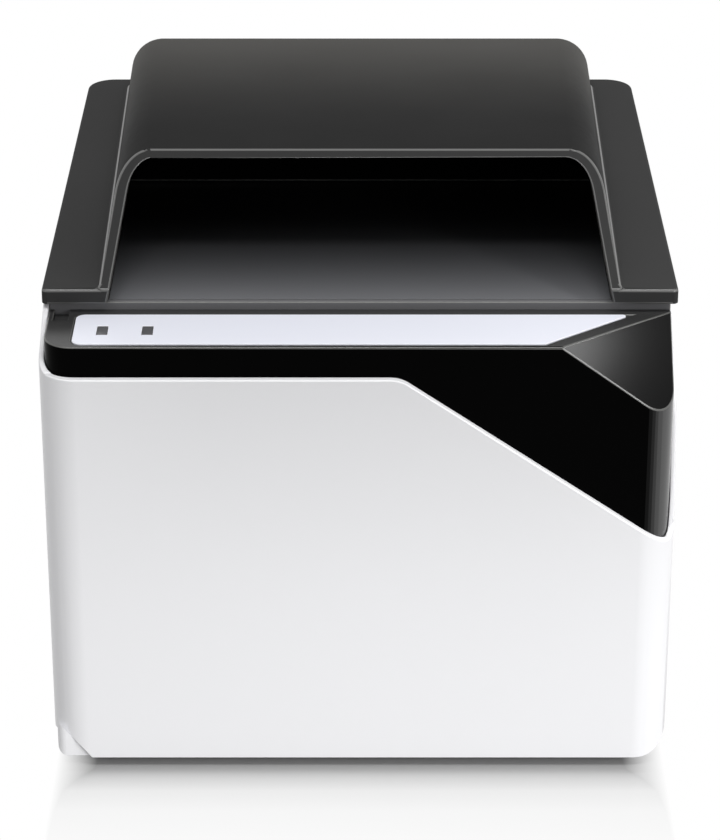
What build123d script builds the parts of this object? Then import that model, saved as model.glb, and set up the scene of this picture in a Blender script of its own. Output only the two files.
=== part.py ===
from build123d import *
import os
from math import cos, radians, sin, tan

os.makedirs("parts", exist_ok=True)

# Travel document scanner: a camera in a tall body reads a page laid on the glass under a hinged hood.
# The frame stands on the table under the middle of the footprint: +X right, +Y to the back, +Z up.

# Glass, and the margins round it that set the footprint
glass_width = 132.0
glass_depth = 96.0
side_margin = 17.0
bezel_depth = 27.5
glass_inset = 2.0
rear_deck = 61.0
rear_overhang = 7.5
body_height = 122.0
foot_height = 2.5

# Moulded walls
side_wall = 1.4
front_wall = 2.3
floor_wall = 2.3
corner_radius = 10.0
base_radius = 7.4
cavity_radius = 8.0
nest_gap = 0.1
housing_wall = 2.2
far = 20.0

# White rim: level on the left, falling in a diagonal to the right, then rising along the right side.
# The right side's knees are given as distances behind the front and below the deck.
rim_drop_left = 10.2
rim_drop_right = 58.0
rim_foot_inset = 2.75
rim_angle = 34.4
rim_knee_radius = 8.4
rim_foot_radius = 4.0
rim_corner_depth = 4.5
rim_turn_depth = 3.0
rim_side_inset = 6.3
rim_left_end = 27.0
rim_left_radius = 8.0
rim_right_knees = ((16.0, 24.6), (31.0, 12.8))
rim_right_end = 53.5
rim_right_radii = (8.0, 30.0)

# Triangular facets, as cuts along the three edges of a corner. Behind the lower one the corner is
# filled again, a step further in and with tighter rounding.
bezel_facet_width = 30.1
bezel_facet_land = 4.1
bezel_facet_height = 22.0
base_facet = (10.6, 13.7, 13.6)
base_fill_step = 1.2
base_fill_radius = 2.5

# Bezel with its rounded edge, its notch, its strip and its two windows
bezel_drop = 2.0
bezel_edge = 0.5
notch_inset = 1.5
notch_size = (3.9, 7.4)
notch_depth = 1.4
strip_left_inset = 9.0
strip_front_inset = 4.3
strip_rear_inset = 4.0
strip_right_inset = 12.2
strip_slant = 23.4
strip_radius = 2.5
strip_tip_radius = 0.8
strip_gap = 0.3
strip_thickness = 0.5
strip_recess = 0.35
window_inset = (7.4, 19.1)
window_rise = 8.8
window_size = (2.7, 5.6)
window_gap = 0.1

# Deck, its pockets below, and the ring antenna under the glass
deck_thickness = 5.0
glass_thickness = 3.0
glass_gap = 0.1
glass_ledge = 3.0
gasket_thickness = 0.5
gasket_width = 2.5
antenna_thickness = 1.6
antenna_width = 4.5
antenna_gap = 0.5
antenna_tab = (12.0, 11.5)
antenna_tab_inset = 15.5
deck_rib = 4.0
deck_pocket_depth = 2.6
deck_pocket_counts = (4, 2)
deck_pocket_side = 10.8
deck_pocket_front = 7.5
deck_pocket_rear = 5.5

# Hood
hood_side_overhang = 0.25
hood_front_overhang = 2.5
hood_gap = 0.5
flange_thickness = 4.0
flange_rear_radius = 8.0
flange_front_radius = 1.5
flange_edge = 0.8
arch_front_margin = 1.8
arch_rear_margin = 4.9
arch_draft = 10.0
cavity_draft = 13.0
arch_wall = 2.4
roof_wall = 1.5
arch_round = 9.5
arch_foot = 1.0
mouth_rise = 24.0
mouth_angle = 30.6
rear_rise = 14.7
roof_crown = 1.0
back_wall_inset = 10.1
flange_skirt = 2.2
flange_pocket_depth = 1.8
flange_pocket_margin = 0.55
flange_pocket_rib = 2.0
flange_pocket_end = 8.5
flange_pocket_count = 5
roof_rib = 1.6
roof_rib_x = (-42.0, 0.0, 42.0)
roof_rib_depth = 8.0

# Hinge along the rear edge
hinge_drop = 3.5
hinge_back = 3.1
knuckle_radius = 2.8
knuckle_inset = 34.0
knuckle_width = 11.4
knuckle_arm = 4.0
knuckle_reach = 7.0
ear_width = 4.0
ear_gap = 0.3
pin_radius = 1.5
pin_press = 0.02
pin_run = 0.05
pin_chamfer = 0.25

# Rubber bumpers under the hood and feet under the base
bumper_radius = 3.5
bumper_seat = 1.5
bumper_gap = 0.05
bumper_inset = 7.3
bumper_front = 4.5
bumper_rear = 15.5
foot_radius = 6.5
foot_plug_radius = 3.0
plug_gap = 0.05
foot_edge = 0.5
foot_inset = 15.5
foot_front = 13.0
foot_rear = 15.5

# Chassis plate, its standoffs and the air slots under the main board
plate_thickness = 1.5
plate_gap = 0.2
floor_opening_inset = 18.3
floor_opening_front = 15.0
floor_opening_rear = 9.5
plate_corner = 4.0
board_lift = 5.7
standoff_radius = 2.6
board_thickness = 1.6
slot_size = (3.0, 26.0)
slot_spacing = 9.0
slot_count = 9
slot_rear = 37.5

# Screws: head radius, head height, shank radius
case_screw = (2.7, 1.1, 1.2)
board_screw = (2.2, 1.5, 1.0)
head_chamfer = 0.4
recess_width = 0.6
recess_depth = 0.6
thread_gap = 0.05
hole_gap = 0.3
boss_radius = 3.6
boss_end = 1.0
base_boss_height = 11.0
base_boss_inset = 13.8
base_boss_front = 31.0
base_boss_rear = 31.5
plate_boss_inset = 12.0
plate_boss_front = 25.0
plate_boss_rear = 21.5
plate_boss_height = 4.7
base_screw_length = 7.0
deck_boss_inset = 6.9
deck_boss_front = 19.5
deck_boss_rear = 39.5
deck_boss_height = 10.0
deck_screw_grip = 2.5
rear_boss_inset = 7.1
rear_boss_rise = 13.5
rear_boss_drop = 16.5
rear_boss_length = 10.0
rear_screw_length = 10.0
shroud_ear_out = 5.0
shroud_ear_front = 10.5
shroud_ear_rear = 33.5
shroud_ear_width = 8.0
shroud_ear_reach = 4.0

# Camera, its bracket and the light shroud
camera_board_size = 38.0
camera_hole_spacing = 30.0
sensor_size = (10.0, 10.0, 1.2)
sensor_gap = 0.5
holder_size = 16.0
holder_corner = 1.0
holder_shoulder = 7.2
holder_height = 12.0
barrel_radius = 6.0
barrel_height = 16.0
barrel_lift = 4.0
barrel_chamfer = 0.4
lens_radius = 4.6
lens_thickness = 1.2
lens_crown = 0.7
lens_seat = 1.4
bracket_thickness = 1.5
bracket_half = 29.25
bracket_foot = 8.75
bracket_depth = 36.0
bracket_rise = 20.2
bracket_bend = 2.0
bracket_hole = 9.0
bracket_screw_inset = 4.0
bracket_screw_spacing = 24.0
shroud_wall = 1.5
shroud_base = (62.0, 47.0)
shroud_flange = 2.0
shroud_hole = 8.0
led_board_size = (12.0, 32.0)
led_board_x = 21.0
led_size = (3.5, 3.5, 1.4)
led_x = 18.0
led_spacing = 6.4
led_count = 5

# Main board and what stands on it
main_depth = 59.0
main_rear_gap = 4.5
main_hole_inset = 8.0
main_hole_front = 10.0
main_hole_rear = 9.0
processor_front = 26.0
processor_size = (22.0, 22.0, 1.6)
sink_size = 26.0
sink_base = 2.0
sink_height = 10.0
fin_thickness = 1.0
fin_count = 9
memory_size = (12.0, 8.0, 1.1)
memory_x = -26.0
memory_spacing = 12.0
connector_depth = 5.0
connector_height = 3.6
connector_margin = 1.5
buzzer_radius = 6.0
buzzer_height = 6.0
buzzer_hole_radius = 1.2
buzzer_hole_depth = 2.0
buzzer_inset = 10.0
buzzer_from_lead = 5.75
capacitor_radius = 3.2
capacitor_height = 8.0
capacitor_chamfer = 0.4
capacitor_x = (2.0, 10.0)
capacitor_rear = 11.0

# Flat cables, the antenna's lead and the switch's wires
ribbon_thickness = 0.8
ribbon_bend = 3.0
ribbon_gap = 0.5
camera_ribbon_width = 12.0
flex_steps = (0.22, 0.36, 0.64, 0.78)
flex_dip = 4.0
led_ribbon_width = 5.0
led_ribbon_x = 24.0
led_ribbon_clear = 8.0
led_ribbon_fall = 4.0
indicator_ribbon_shift = 1.25
indicator_ribbon_width = 5.0
indicator_ribbon_start = 2.0
indicator_ribbon_drops = (10.0, 18.0)
indicator_ribbon_wall_gap = 5.0
indicator_ribbon_turn = (13.0, 8.0)
indicator_ribbon_floor_gap = 2.0
indicator_ribbon_rise = (16.0, 9.0)
coax_radius = 0.9
coax_bend = 8.0
coax_drops = (14.0, 34.0)
coax_sway = (8.0, 5.0)
coax_landing = (6.0, 6.0)
coax_lifts = (30.0, 14.0)
switch_wire_reach = (5.0, 10.0)

# Indicator board under the bezel
indicator_board_size = (25.0, 12.0)
indicator_board_thickness = 1.2
indicator_drop = 8.1
indicator_boss_spread = 10.2
indicator_boss_radius = 2.3
indicator_led = (3.0, 3.0, 1.8)

# Rear panel and its sockets
panel_thickness = 2.3
panel_gap = 0.1
socket_gap = 0.3
usb_x = -34.0
usb_size = (12.0, 11.0)
usb_chamfer = 1.5
usb_depth = 17.0
usb_wall = 0.6
usb_bore_depth = 10.0
usb_tongue_size = (5.6, 3.2)
contact_inset = 1.0
dc_x = -12.0
dc_size = (9.0, 11.0)
dc_depth = 14.0
dc_bore_radius = 2.9
dc_bore_depth = 9.5
dc_pin_radius = 0.95
dc_pin_round = 0.55
switch_x = 26.0
switch_rise = 17.4
switch_body = (12.8, 18.8)
switch_cavity = (10.2, 16.2)
switch_lip = 1.1
switch_lip_thickness = 1.5
switch_corner = 1.0
switch_depth = 15.5
switch_back = 2.0
rocker_width = 9.8
rocker_tilt = 7.0
rocker_pivot_in = 1.5
rocker_pin_radius = 1.2
rocker_pin_length = 12.4
rocker_end = (3.6, 7.6)
rocker_valley = 2.4
rocker_shoulder = (0.5, 7.9)
rocker_root = (4.0, 3.5)
terminal_size = (4.8, 8.0, 0.8)
terminal_rise = 5.0
lock_inset = 25.0
lock_rise = 21.5
lock_slot = (7.0, 3.0)
lock_plate_size = (22.0, 12.0)
lock_plate_thickness = 1.5
vent_size = (2.2, 26.0)
vent_spacing = 7.0
vent_count = 13
vent_drop = 40.5

# Footprint and depths worked out from the glass and its margins
body_width = glass_width + 2 * side_margin
body_half = body_width / 2
overall_depth = bezel_depth + glass_inset + glass_depth + rear_deck + rear_overhang
front_y = -overall_depth / 2
hood_rear_y = overall_depth / 2
rear_y = hood_rear_y - rear_overhang
deck_front_y = front_y + bezel_depth
glass_front_y = deck_front_y + glass_inset
glass_rear_y = glass_front_y + glass_depth
optical_y = (glass_front_y + glass_rear_y) / 2

# Heights worked out
floor_z = foot_height
deck_z = floor_z + body_height
shell_floor_z = floor_z + floor_wall
housing_floor_z = shell_floor_z + housing_wall
deck_under_z = deck_z - deck_thickness
bezel_z = deck_z - bezel_drop
plate_z = shell_floor_z + plate_thickness
board_z = plate_z + board_lift
board_top_z = board_z + board_thickness
flange_z = deck_z + hood_gap
flange_top_z = flange_z + flange_thickness
antenna_z = deck_under_z - antenna_thickness
bracket_top_z = plate_z + bracket_rise + bracket_thickness
screw_head_z = floor_z + case_screw[1]
switch_z = board_top_z + switch_rise
lock_z = floor_z + lock_rise
vent_z = deck_z - vent_drop
left_rim_z = deck_z - rim_drop_left
right_rim_z = deck_z - rim_drop_right
hinge_z = deck_z - hinge_drop

# Places worked out, each from its nearest neighbour
panel_front_y = rear_y - panel_thickness
hinge_y = rear_y + hinge_back
housing_inner_half = body_half - side_wall - nest_gap - housing_wall
deck_half = body_half - side_wall - nest_gap
window_half = glass_width / 2 - glass_ledge
window_half_y = glass_depth / 2 - glass_ledge
antenna_half = window_half + antenna_gap
antenna_half_y = window_half_y + antenna_gap
antenna_rear_y = optical_y + antenna_half_y + antenna_width
antenna_tab_x = antenna_half - antenna_tab_inset
rim_foot_x = body_half - rim_foot_inset
rim_knee_x = rim_foot_x - (left_rim_z - right_rim_z) / tan(radians(rim_angle))
rim_corner_y = front_y + rim_corner_depth
rim_turn_y = rim_corner_y + rim_turn_depth
rim_side_x = body_half - rim_side_inset
rim_right_points = [(front_y + back, deck_z - drop) for back, drop in rim_right_knees]
bezel_facet = (bezel_facet_width, bezel_depth - bezel_facet_land, bezel_facet_height)
strip_left_x = strip_left_inset - body_half
strip_rear_right_x = body_half - strip_right_inset
strip_front_right_x = strip_rear_right_x - strip_slant
strip_front_y = front_y + strip_front_inset
strip_rear_y = deck_front_y - strip_rear_inset
window_x = [strip_left_x + inset for inset in window_inset]
window_y = strip_front_y + window_rise
indicator_x = sum(window_x) / len(window_x)
indicator_ribbon_x = indicator_x + indicator_ribbon_shift
hood_width = body_width + 2 * hood_side_overhang
hood_front_y = deck_front_y - hood_front_overhang
arch_half_front = glass_width / 2 + arch_front_margin
arch_half_rear = glass_width / 2 + arch_rear_margin
back_wall_y = glass_rear_y - back_wall_inset
lip_y = hood_front_y + mouth_rise / tan(radians(mouth_angle))
lip_z = flange_top_z + mouth_rise
knuckle_inner_x = body_half - knuckle_inset
floor_opening_half = body_half - floor_opening_inset
floor_opening_front_y = front_y + floor_opening_front
floor_opening_rear_y = rear_y - floor_opening_rear
main_half = floor_opening_half
main_rear_y = rear_y - main_rear_gap
main_front_y = main_rear_y - main_depth
processor_y = main_front_y + processor_front
memory_y = (processor_y - memory_spacing / 2, processor_y + memory_spacing / 2)
lead_y = antenna_rear_y + antenna_tab[1] / 2
sway_place = (antenna_tab_x + coax_sway[0], lead_y + coax_sway[1])
landing_place = (antenna_tab_x - coax_landing[0], lead_y + coax_landing[1])
buzzer_place = (antenna_tab_x - buzzer_inset, landing_place[1] + buzzer_from_lead)
capacitor_y = main_rear_y - capacitor_rear
slot_y = rear_y - slot_rear
lock_x = body_half - lock_inset


def facet_plane(corner, cuts, depth):
    """Plane through the ends of three cuts from a corner, moved into the material by the depth."""
    outward = Vector(-1 / cuts[0], -1 / cuts[1], -1 / cuts[2]).normalized()
    point = Vector(*corner) + Vector(cuts[0], 0, 0) - outward * depth
    return Plane(origin=point, z_dir=outward)


def base_facet_plane(depth):
    corner = (-body_half, front_y, floor_z)
    return facet_plane(corner, base_facet, depth)


def bezel_facet_plane(depth):
    inset = side_wall + nest_gap
    corner = (body_half - inset, front_y + front_wall + nest_gap, bezel_z)
    cuts = (-bezel_facet[0], bezel_facet[1], -bezel_facet[2])
    return facet_plane(corner, cuts, depth)


def body_form(side, front, bottom, radius, top, rear, facets):
    """The body's outline drawn in by three wall sizes: round in plan at the front and along the bottom."""
    low_radius = radius - corner_radius + base_radius
    half = body_half - side
    near = front_y + front
    low = floor_z + bottom
    with BuildPart() as form:
        with BuildSketch(Plane.XY.offset(low)) as plan:
            with Locations((0, (near + rear) / 2)):
                Rectangle(2 * half, rear - near)
            fillet(plan.vertices().group_by(Axis.Y)[0], radius)
        extrude(amount=top - low)
        with BuildSketch(Plane.XZ.offset(-rear)) as face:
            with Locations((0, (low + top) / 2)):
                Rectangle(2 * half, top - low)
            fillet(face.vertices().group_by(Axis.Y)[0], low_radius)
        extrude(amount=rear - near, mode=Mode.INTERSECT)
        for facet in facets:
            with BuildSketch(facet):
                Rectangle(body_width, body_width)
            extrude(amount=body_width, mode=Mode.SUBTRACT)
    return form.part


def pan_screw(size, length):
    """Pan head screw with its head's seat at the origin and its shank up +Z."""
    head_radius, head_height, shank_radius = size
    with BuildPart() as screw:
        Cylinder(head_radius, head_height, align=(Align.CENTER, Align.CENTER, Align.MAX))
        chamfer(screw.edges().sort_by(Axis.Z)[0], head_chamfer)
        Cylinder(shank_radius, length, align=(Align.CENTER, Align.CENTER, Align.MIN))
        with BuildSketch(Plane.XY.offset(-head_height)):
            Rectangle(head_radius, recess_width)
            Rectangle(recess_width, head_radius)
        extrude(amount=recess_depth, mode=Mode.SUBTRACT)
    return screw.part


def ribbon(x, width, points):
    """Flat cable whose middle line runs through points of the YZ plane."""
    with BuildPart() as cable:
        with BuildSketch(Plane.YZ.offset(x)):
            with BuildLine():
                FilletPolyline(*points, radius=ribbon_bend)
            trace(line_width=ribbon_thickness)
        extrude(amount=width / 2, both=True)
    return cable.part


def mirrored(places):
    """The same places on the left and on the right."""
    return [(side * place[0], *place[1:]) for side in (-1, 1) for place in places]


def strip_outline():
    """Outline of the status strip, with a slanted right end that runs beside the facet."""
    with BuildSketch() as outline:
        with BuildLine():
            Polyline(
                (strip_left_x, strip_front_y),
                (strip_front_right_x, strip_front_y),
                (strip_rear_right_x, strip_rear_y),
                (strip_left_x, strip_rear_y),
                close=True,
            )
        make_face()
        fillet(outline.vertices().group_by(Axis.X)[0], strip_radius)
    return outline.sketch


# Where the screws, feet and bumpers stand
base_boss_y = (front_y + base_boss_front, rear_y - base_boss_rear)
base_places = mirrored([(body_half - base_boss_inset, y) for y in base_boss_y])
plate_boss_y = (front_y + plate_boss_front, rear_y - plate_boss_rear)
plate_places = mirrored([(floor_opening_half - plate_boss_inset, y) for y in plate_boss_y])
deck_boss_y = (deck_front_y + deck_boss_front, rear_y - deck_boss_rear)
deck_places = mirrored([(body_half - deck_boss_inset, y) for y in deck_boss_y])
rear_boss_z = (floor_z + rear_boss_rise, deck_z - rear_boss_drop)
rear_places = mirrored([(body_half - rear_boss_inset, z) for z in rear_boss_z])
shroud_ear_x = antenna_half + antenna_width + shroud_ear_out
shroud_ear_y = (optical_y - shroud_ear_front, optical_y + shroud_ear_rear)
shroud_places = mirrored([(shroud_ear_x, y) for y in shroud_ear_y])
foot_y = (front_y + foot_front, rear_y - foot_rear)
foot_places = mirrored([(body_half - foot_inset, y) for y in foot_y])
bumper_y = (deck_front_y + bumper_front, rear_y - bumper_rear)
bumper_places = mirrored([(body_half - bumper_inset, y) for y in bumper_y])
camera_places = [
    (side * camera_hole_spacing / 2, optical_y + end * camera_hole_spacing / 2)
    for side in (-1, 1)
    for end in (-1, 1)
]
main_hole_y = (main_front_y + main_hole_front, main_rear_y - main_hole_rear)
main_places = mirrored([(main_half - main_hole_inset, y) for y in main_hole_y])

# White outer shell: a thin moulded tub, open at the back, with its rim cut to the flowing line
fill_corner = Vector(base_fill_step - body_half, front_y + base_fill_step, floor_z)
with BuildPart() as base_fill:
    with Locations(fill_corner):
        Box(far, far, far, align=(Align.MIN, Align.MIN, Align.MIN))
    left_edges = base_fill.edges().group_by(Axis.X)[0]
    fillet(left_edges.filter_by(lambda edge: (edge.center() - fill_corner).length < far), base_fill_radius)
    with BuildSketch(base_facet_plane(0)):
        Rectangle(body_width, body_width)
    extrude(amount=body_width, mode=Mode.INTERSECT)
with BuildPart() as outer_shell:
    add(body_form(0, 0, 0, corner_radius, deck_z, rear_y, [base_facet_plane(0)]))
    add(base_fill.part)
    add(
        body_form(
            side_wall,
            front_wall,
            floor_wall,
            cavity_radius,
            deck_z + far,
            rear_y + far,
            [base_facet_plane(side_wall)],
        ),
        mode=Mode.SUBTRACT,
    )
    with BuildSketch(Plane.XZ.offset(-rim_corner_y)):
        with BuildLine():
            rim = FilletPolyline(
                (-body_half - far, left_rim_z),
                (rim_knee_x, left_rim_z),
                (rim_foot_x, right_rim_z),
                (body_half + far, right_rim_z),
                radius=(rim_knee_radius, rim_foot_radius),
            )
            Polyline(
                rim @ 1,
                (body_half + far, deck_z + far),
                (-body_half - far, deck_z + far),
                rim @ 0,
            )
        make_face()
    extrude(amount=far, mode=Mode.SUBTRACT)
    with BuildSketch(Plane.YZ.offset(rim_side_x)):
        with BuildLine():
            rim = FilletPolyline(
                (front_y - far, right_rim_z),
                (rim_turn_y, right_rim_z),
                *rim_right_points,
                (front_y + rim_right_end, deck_z),
                radius=(rim_foot_radius, *rim_right_radii),
            )
            Polyline(
                rim @ 1,
                (front_y + rim_right_end, deck_z + far),
                (front_y - far, deck_z + far),
                rim @ 0,
            )
        make_face()
    extrude(amount=far, mode=Mode.SUBTRACT)
    with BuildSketch(Plane.YZ.offset(-rim_side_x)):
        with BuildLine():
            rim = FilletPolyline(
                (front_y - far, left_rim_z),
                (rim_corner_y, left_rim_z),
                (front_y + rim_left_end, deck_z),
                radius=rim_left_radius,
            )
            Polyline(
                rim @ 1,
                (front_y + rim_left_end, deck_z + far),
                (front_y - far, deck_z + far),
                rim @ 0,
            )
        make_face()
    extrude(amount=-far, mode=Mode.SUBTRACT)
    with BuildSketch(Plane.XY.offset(floor_z)):
        with Locations((0, slot_y)):
            with GridLocations(slot_spacing, 0, slot_count, 1):
                SlotOverall(slot_size[1], slot_size[0], rotation=90)
        with Locations(*foot_places):
            Circle(foot_plug_radius + plug_gap)
        with Locations(*base_places, *plate_places):
            Circle(case_screw[2] + hole_gap)
    extrude(amount=floor_wall, mode=Mode.SUBTRACT)
    with BuildSketch(Plane.XY.offset(floor_z)):
        with Locations(*base_places, *plate_places):
            Circle(case_screw[0] + hole_gap)
    extrude(amount=case_screw[1], mode=Mode.SUBTRACT)
outer_shell.part.label = "outer_shell"
export_step(outer_shell.part, "parts/outer_shell.step")

# Glossy black inner housing: bezel, front with the corner facet, side walls, and bosses for the screws
housing_side = side_wall + nest_gap
housing_front = front_wall + nest_gap
deck_screw_z = deck_under_z - deck_boss_height
with BuildPart() as inner_housing:
    add(
        body_form(
            housing_side,
            housing_front,
            floor_wall,
            cavity_radius - nest_gap,
            bezel_z,
            rear_y,
            [bezel_facet_plane(0), base_facet_plane(side_wall + nest_gap)],
        )
    )
    bezel_rim = inner_housing.edges().group_by(Axis.Z)[-1].filter_by(
        lambda edge: not strip_front_right_x < edge.center().X < deck_half - bezel_edge
        and edge.center().Y < rear_y - corner_radius
    )
    fillet(bezel_rim, bezel_edge)
    add(
        body_form(
            housing_side + housing_wall,
            housing_front + housing_wall,
            floor_wall + housing_wall,
            cavity_radius - nest_gap - housing_wall,
            bezel_z - housing_wall,
            rear_y + far,
            [bezel_facet_plane(housing_wall), base_facet_plane(side_wall + nest_gap + housing_wall)],
        ),
        mode=Mode.SUBTRACT,
    )
    with BuildSketch(Plane.XY.offset(deck_under_z)):
        with Locations((0, (deck_front_y + rear_y + far) / 2)):
            Rectangle(body_width, rear_y + far - deck_front_y)
    extrude(amount=deck_thickness, mode=Mode.SUBTRACT)
    with BuildSketch(Plane.XY.offset(shell_floor_z)):
        with Locations((0, (floor_opening_front_y + floor_opening_rear_y) / 2)):
            RectangleRounded(
                2 * floor_opening_half, floor_opening_rear_y - floor_opening_front_y, plate_corner
            )
    extrude(amount=housing_wall, mode=Mode.SUBTRACT)
    with BuildSketch(Plane.XY.offset(shell_floor_z)):
        with Locations(*base_places):
            Circle(boss_radius - hole_gap)
    extrude(amount=base_boss_height)
    with BuildSketch(Plane.XY.offset(deck_screw_z)):
        with Locations(*deck_places):
            Circle(boss_radius)
    extrude(amount=deck_boss_height)
    with BuildSketch(Plane.XZ.offset(-panel_front_y)):
        with Locations(*rear_places):
            Circle(boss_radius)
    extrude(amount=rear_boss_length)
    with BuildSketch(Plane.XY.offset(bezel_z - housing_wall)):
        with Locations((indicator_x, window_y)):
            with GridLocations(2 * indicator_boss_spread, 0, 2, 1):
                Circle(indicator_boss_radius)
    extrude(amount=housing_wall - indicator_drop)
    with BuildSketch(Plane.XY.offset(shell_floor_z)):
        with Locations(*base_places):
            Circle(case_screw[2] + thread_gap)
    extrude(amount=base_boss_height - housing_wall, mode=Mode.SUBTRACT)
    with BuildSketch(Plane.XY.offset(deck_screw_z)):
        with Locations(*deck_places):
            Circle(case_screw[2] + hole_gap)
    extrude(amount=deck_boss_height, mode=Mode.SUBTRACT)
    with BuildSketch(Plane.XZ.offset(-panel_front_y)):
        with Locations(*rear_places):
            Circle(case_screw[2] + thread_gap)
    extrude(amount=rear_boss_length - boss_end, mode=Mode.SUBTRACT)
    with BuildSketch(Plane.XY.offset(bezel_z - indicator_drop)):
        with Locations((indicator_x, window_y)):
            with GridLocations(2 * indicator_boss_spread, 0, 2, 1):
                Circle(board_screw[2] + thread_gap)
    extrude(amount=indicator_drop - housing_wall, mode=Mode.SUBTRACT)
    with BuildSketch(Plane.XY.offset(bezel_z)):
        add(strip_outline())
        offset(amount=strip_gap, kind=Kind.INTERSECTION)
    extrude(amount=-strip_recess, mode=Mode.SUBTRACT)
    with BuildSketch(Plane.XY.offset(bezel_z)):
        with Locations((notch_inset - deck_half, deck_front_y)):
            Rectangle(*notch_size, align=(Align.MIN, Align.MAX))
    extrude(amount=-notch_depth, mode=Mode.SUBTRACT)
    with BuildSketch(Plane.XY.offset(bezel_z)):
        with Locations(*[(x, window_y) for x in window_x]):
            Rectangle(window_size[0] + 2 * window_gap, window_size[1] + 2 * window_gap)
    extrude(amount=-2 * housing_wall, mode=Mode.SUBTRACT)
inner_housing.part.label = "inner_housing"
export_step(inner_housing.part, "parts/inner_housing.step")

# Status strip: a plastic overlay laid in the bezel's recess, with two windows for the light pipes
with BuildPart() as status_strip:
    with BuildSketch(Plane.XY.offset(bezel_z - strip_recess)) as strip:
        add(strip_outline())
        fillet(strip.vertices().group_by(Axis.X)[-1], strip_tip_radius)
        with Locations(*[(x, window_y) for x in window_x]):
            Rectangle(
                window_size[0] + 2 * window_gap, window_size[1] + 2 * window_gap, mode=Mode.SUBTRACT
            )
    extrude(amount=strip_thickness)
status_strip.part.label = "status_strip"
export_step(status_strip.part, "parts/status_strip.step")

# Indicator light pipes, their board on two bosses under the bezel, and the diodes that light them
strip_top_z = bezel_z - strip_recess + strip_thickness
indicator_z = bezel_z - indicator_drop
with BuildPart() as indicator_lenses:
    with BuildSketch(Plane.XY.offset(strip_top_z)):
        with Locations(*[(x, window_y) for x in window_x]):
            Rectangle(*window_size)
    extrude(amount=-(strip_top_z - indicator_z - indicator_led[2] - window_gap))
indicator_lenses.part.label = "indicator_lenses"
export_step(indicator_lenses.part, "parts/indicator_lenses.step")

with BuildPart() as indicator_leds:
    with BuildSketch(Plane.XY.offset(indicator_z)):
        with Locations(*[(x, window_y) for x in window_x]):
            Rectangle(*indicator_led[:2])
    extrude(amount=indicator_led[2])
indicator_leds.part.label = "indicator_leds"
export_step(indicator_leds.part, "parts/indicator_leds.step")

with BuildPart() as indicator_board:
    with BuildSketch(Plane.XY.offset(indicator_z - indicator_board_thickness)):
        with Locations((indicator_x, window_y)):
            Rectangle(*indicator_board_size)
            with GridLocations(2 * indicator_boss_spread, 0, 2, 1):
                Circle(board_screw[2] + hole_gap, mode=Mode.SUBTRACT)
    extrude(amount=indicator_board_thickness)
indicator_board.part.label = "indicator_board"
export_step(indicator_board.part, "parts/indicator_board.step")

with BuildPart() as indicator_screws:
    with Locations((indicator_x, window_y, indicator_z - indicator_board_thickness)):
        with GridLocations(2 * indicator_boss_spread, 0, 2, 1):
            add(pan_screw(board_screw, indicator_drop - housing_wall))
indicator_screws.part.label = "indicator_screws"
export_step(indicator_screws.part, "parts/indicator_screws.step")

# Top deck: the frame that holds the glass in a rebate, ribbed below, with two pairs of hinge ears behind
pocket_front_y = glass_rear_y + deck_pocket_front
pocket_rear_y = rear_y - deck_pocket_rear
pocket_step_x = (2 * (deck_half - deck_pocket_side) + deck_rib) / deck_pocket_counts[0]
pocket_step_y = (pocket_rear_y - pocket_front_y + deck_rib) / deck_pocket_counts[1]
ear_inner = knuckle_inner_x - ear_gap - ear_width
ear_outer = knuckle_inner_x + knuckle_width + ear_gap
with BuildPart() as top_deck:
    with BuildSketch(Plane.XY.offset(deck_under_z)):
        with Locations((0, (deck_front_y + rear_y) / 2)):
            Rectangle(2 * deck_half, rear_y - deck_front_y)
        with Locations((0, optical_y)):
            Rectangle(2 * window_half, 2 * window_half_y, mode=Mode.SUBTRACT)
    extrude(amount=deck_thickness)
    with BuildSketch(Plane.XY.offset(deck_z)):
        with Locations((0, optical_y)):
            Rectangle(glass_width + 2 * glass_gap, glass_depth + 2 * glass_gap)
    extrude(amount=-(glass_thickness + gasket_thickness), mode=Mode.SUBTRACT)
    with BuildSketch(Plane.XY.offset(deck_under_z)):
        with Locations((0, (pocket_front_y + pocket_rear_y) / 2)):
            with GridLocations(pocket_step_x, pocket_step_y, *deck_pocket_counts):
                Rectangle(pocket_step_x - deck_rib, pocket_step_y - deck_rib)
    extrude(amount=deck_pocket_depth, mode=Mode.SUBTRACT)
    for side in (-1, 1):
        for ear_x in (ear_inner, ear_outer):
            with BuildSketch(Plane.YZ.offset(side * (ear_x + ear_width / 2))):
                with Locations((hinge_y, hinge_z)):
                    Circle(knuckle_radius)
                with Locations((hinge_y, hinge_z)):
                    Rectangle(
                        hinge_back + housing_wall, 2 * knuckle_radius, align=(Align.MAX, Align.CENTER)
                    )
                with Locations((rear_y, deck_under_z)):
                    Rectangle(far, far, align=(Align.MAX, Align.MAX), mode=Mode.SUBTRACT)
            extrude(amount=ear_width / 2, both=True)
    with BuildSketch(Plane.XY.offset(antenna_z)):
        with Locations(*shroud_places):
            Circle(boss_radius - hole_gap)
    extrude(amount=antenna_thickness)
    with BuildSketch(Plane.YZ.offset(-deck_half)):
        with Locations((hinge_y, hinge_z)):
            Circle(pin_radius + pin_press)
    extrude(amount=2 * deck_half, mode=Mode.SUBTRACT)
    with BuildSketch(Plane.XY.offset(deck_z)):
        with Locations(*bumper_places):
            Circle(bumper_radius + bumper_gap)
    extrude(amount=-bumper_seat, mode=Mode.SUBTRACT)
    with BuildSketch(Plane.XY.offset(deck_under_z)):
        with Locations(*deck_places):
            Circle(case_screw[2] + thread_gap)
    extrude(amount=deck_screw_grip, mode=Mode.SUBTRACT)
    with BuildSketch(Plane.XY.offset(antenna_z)):
        with Locations(*shroud_places):
            Circle(board_screw[2] + thread_gap)
    extrude(amount=antenna_thickness + deck_screw_grip, mode=Mode.SUBTRACT)
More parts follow.
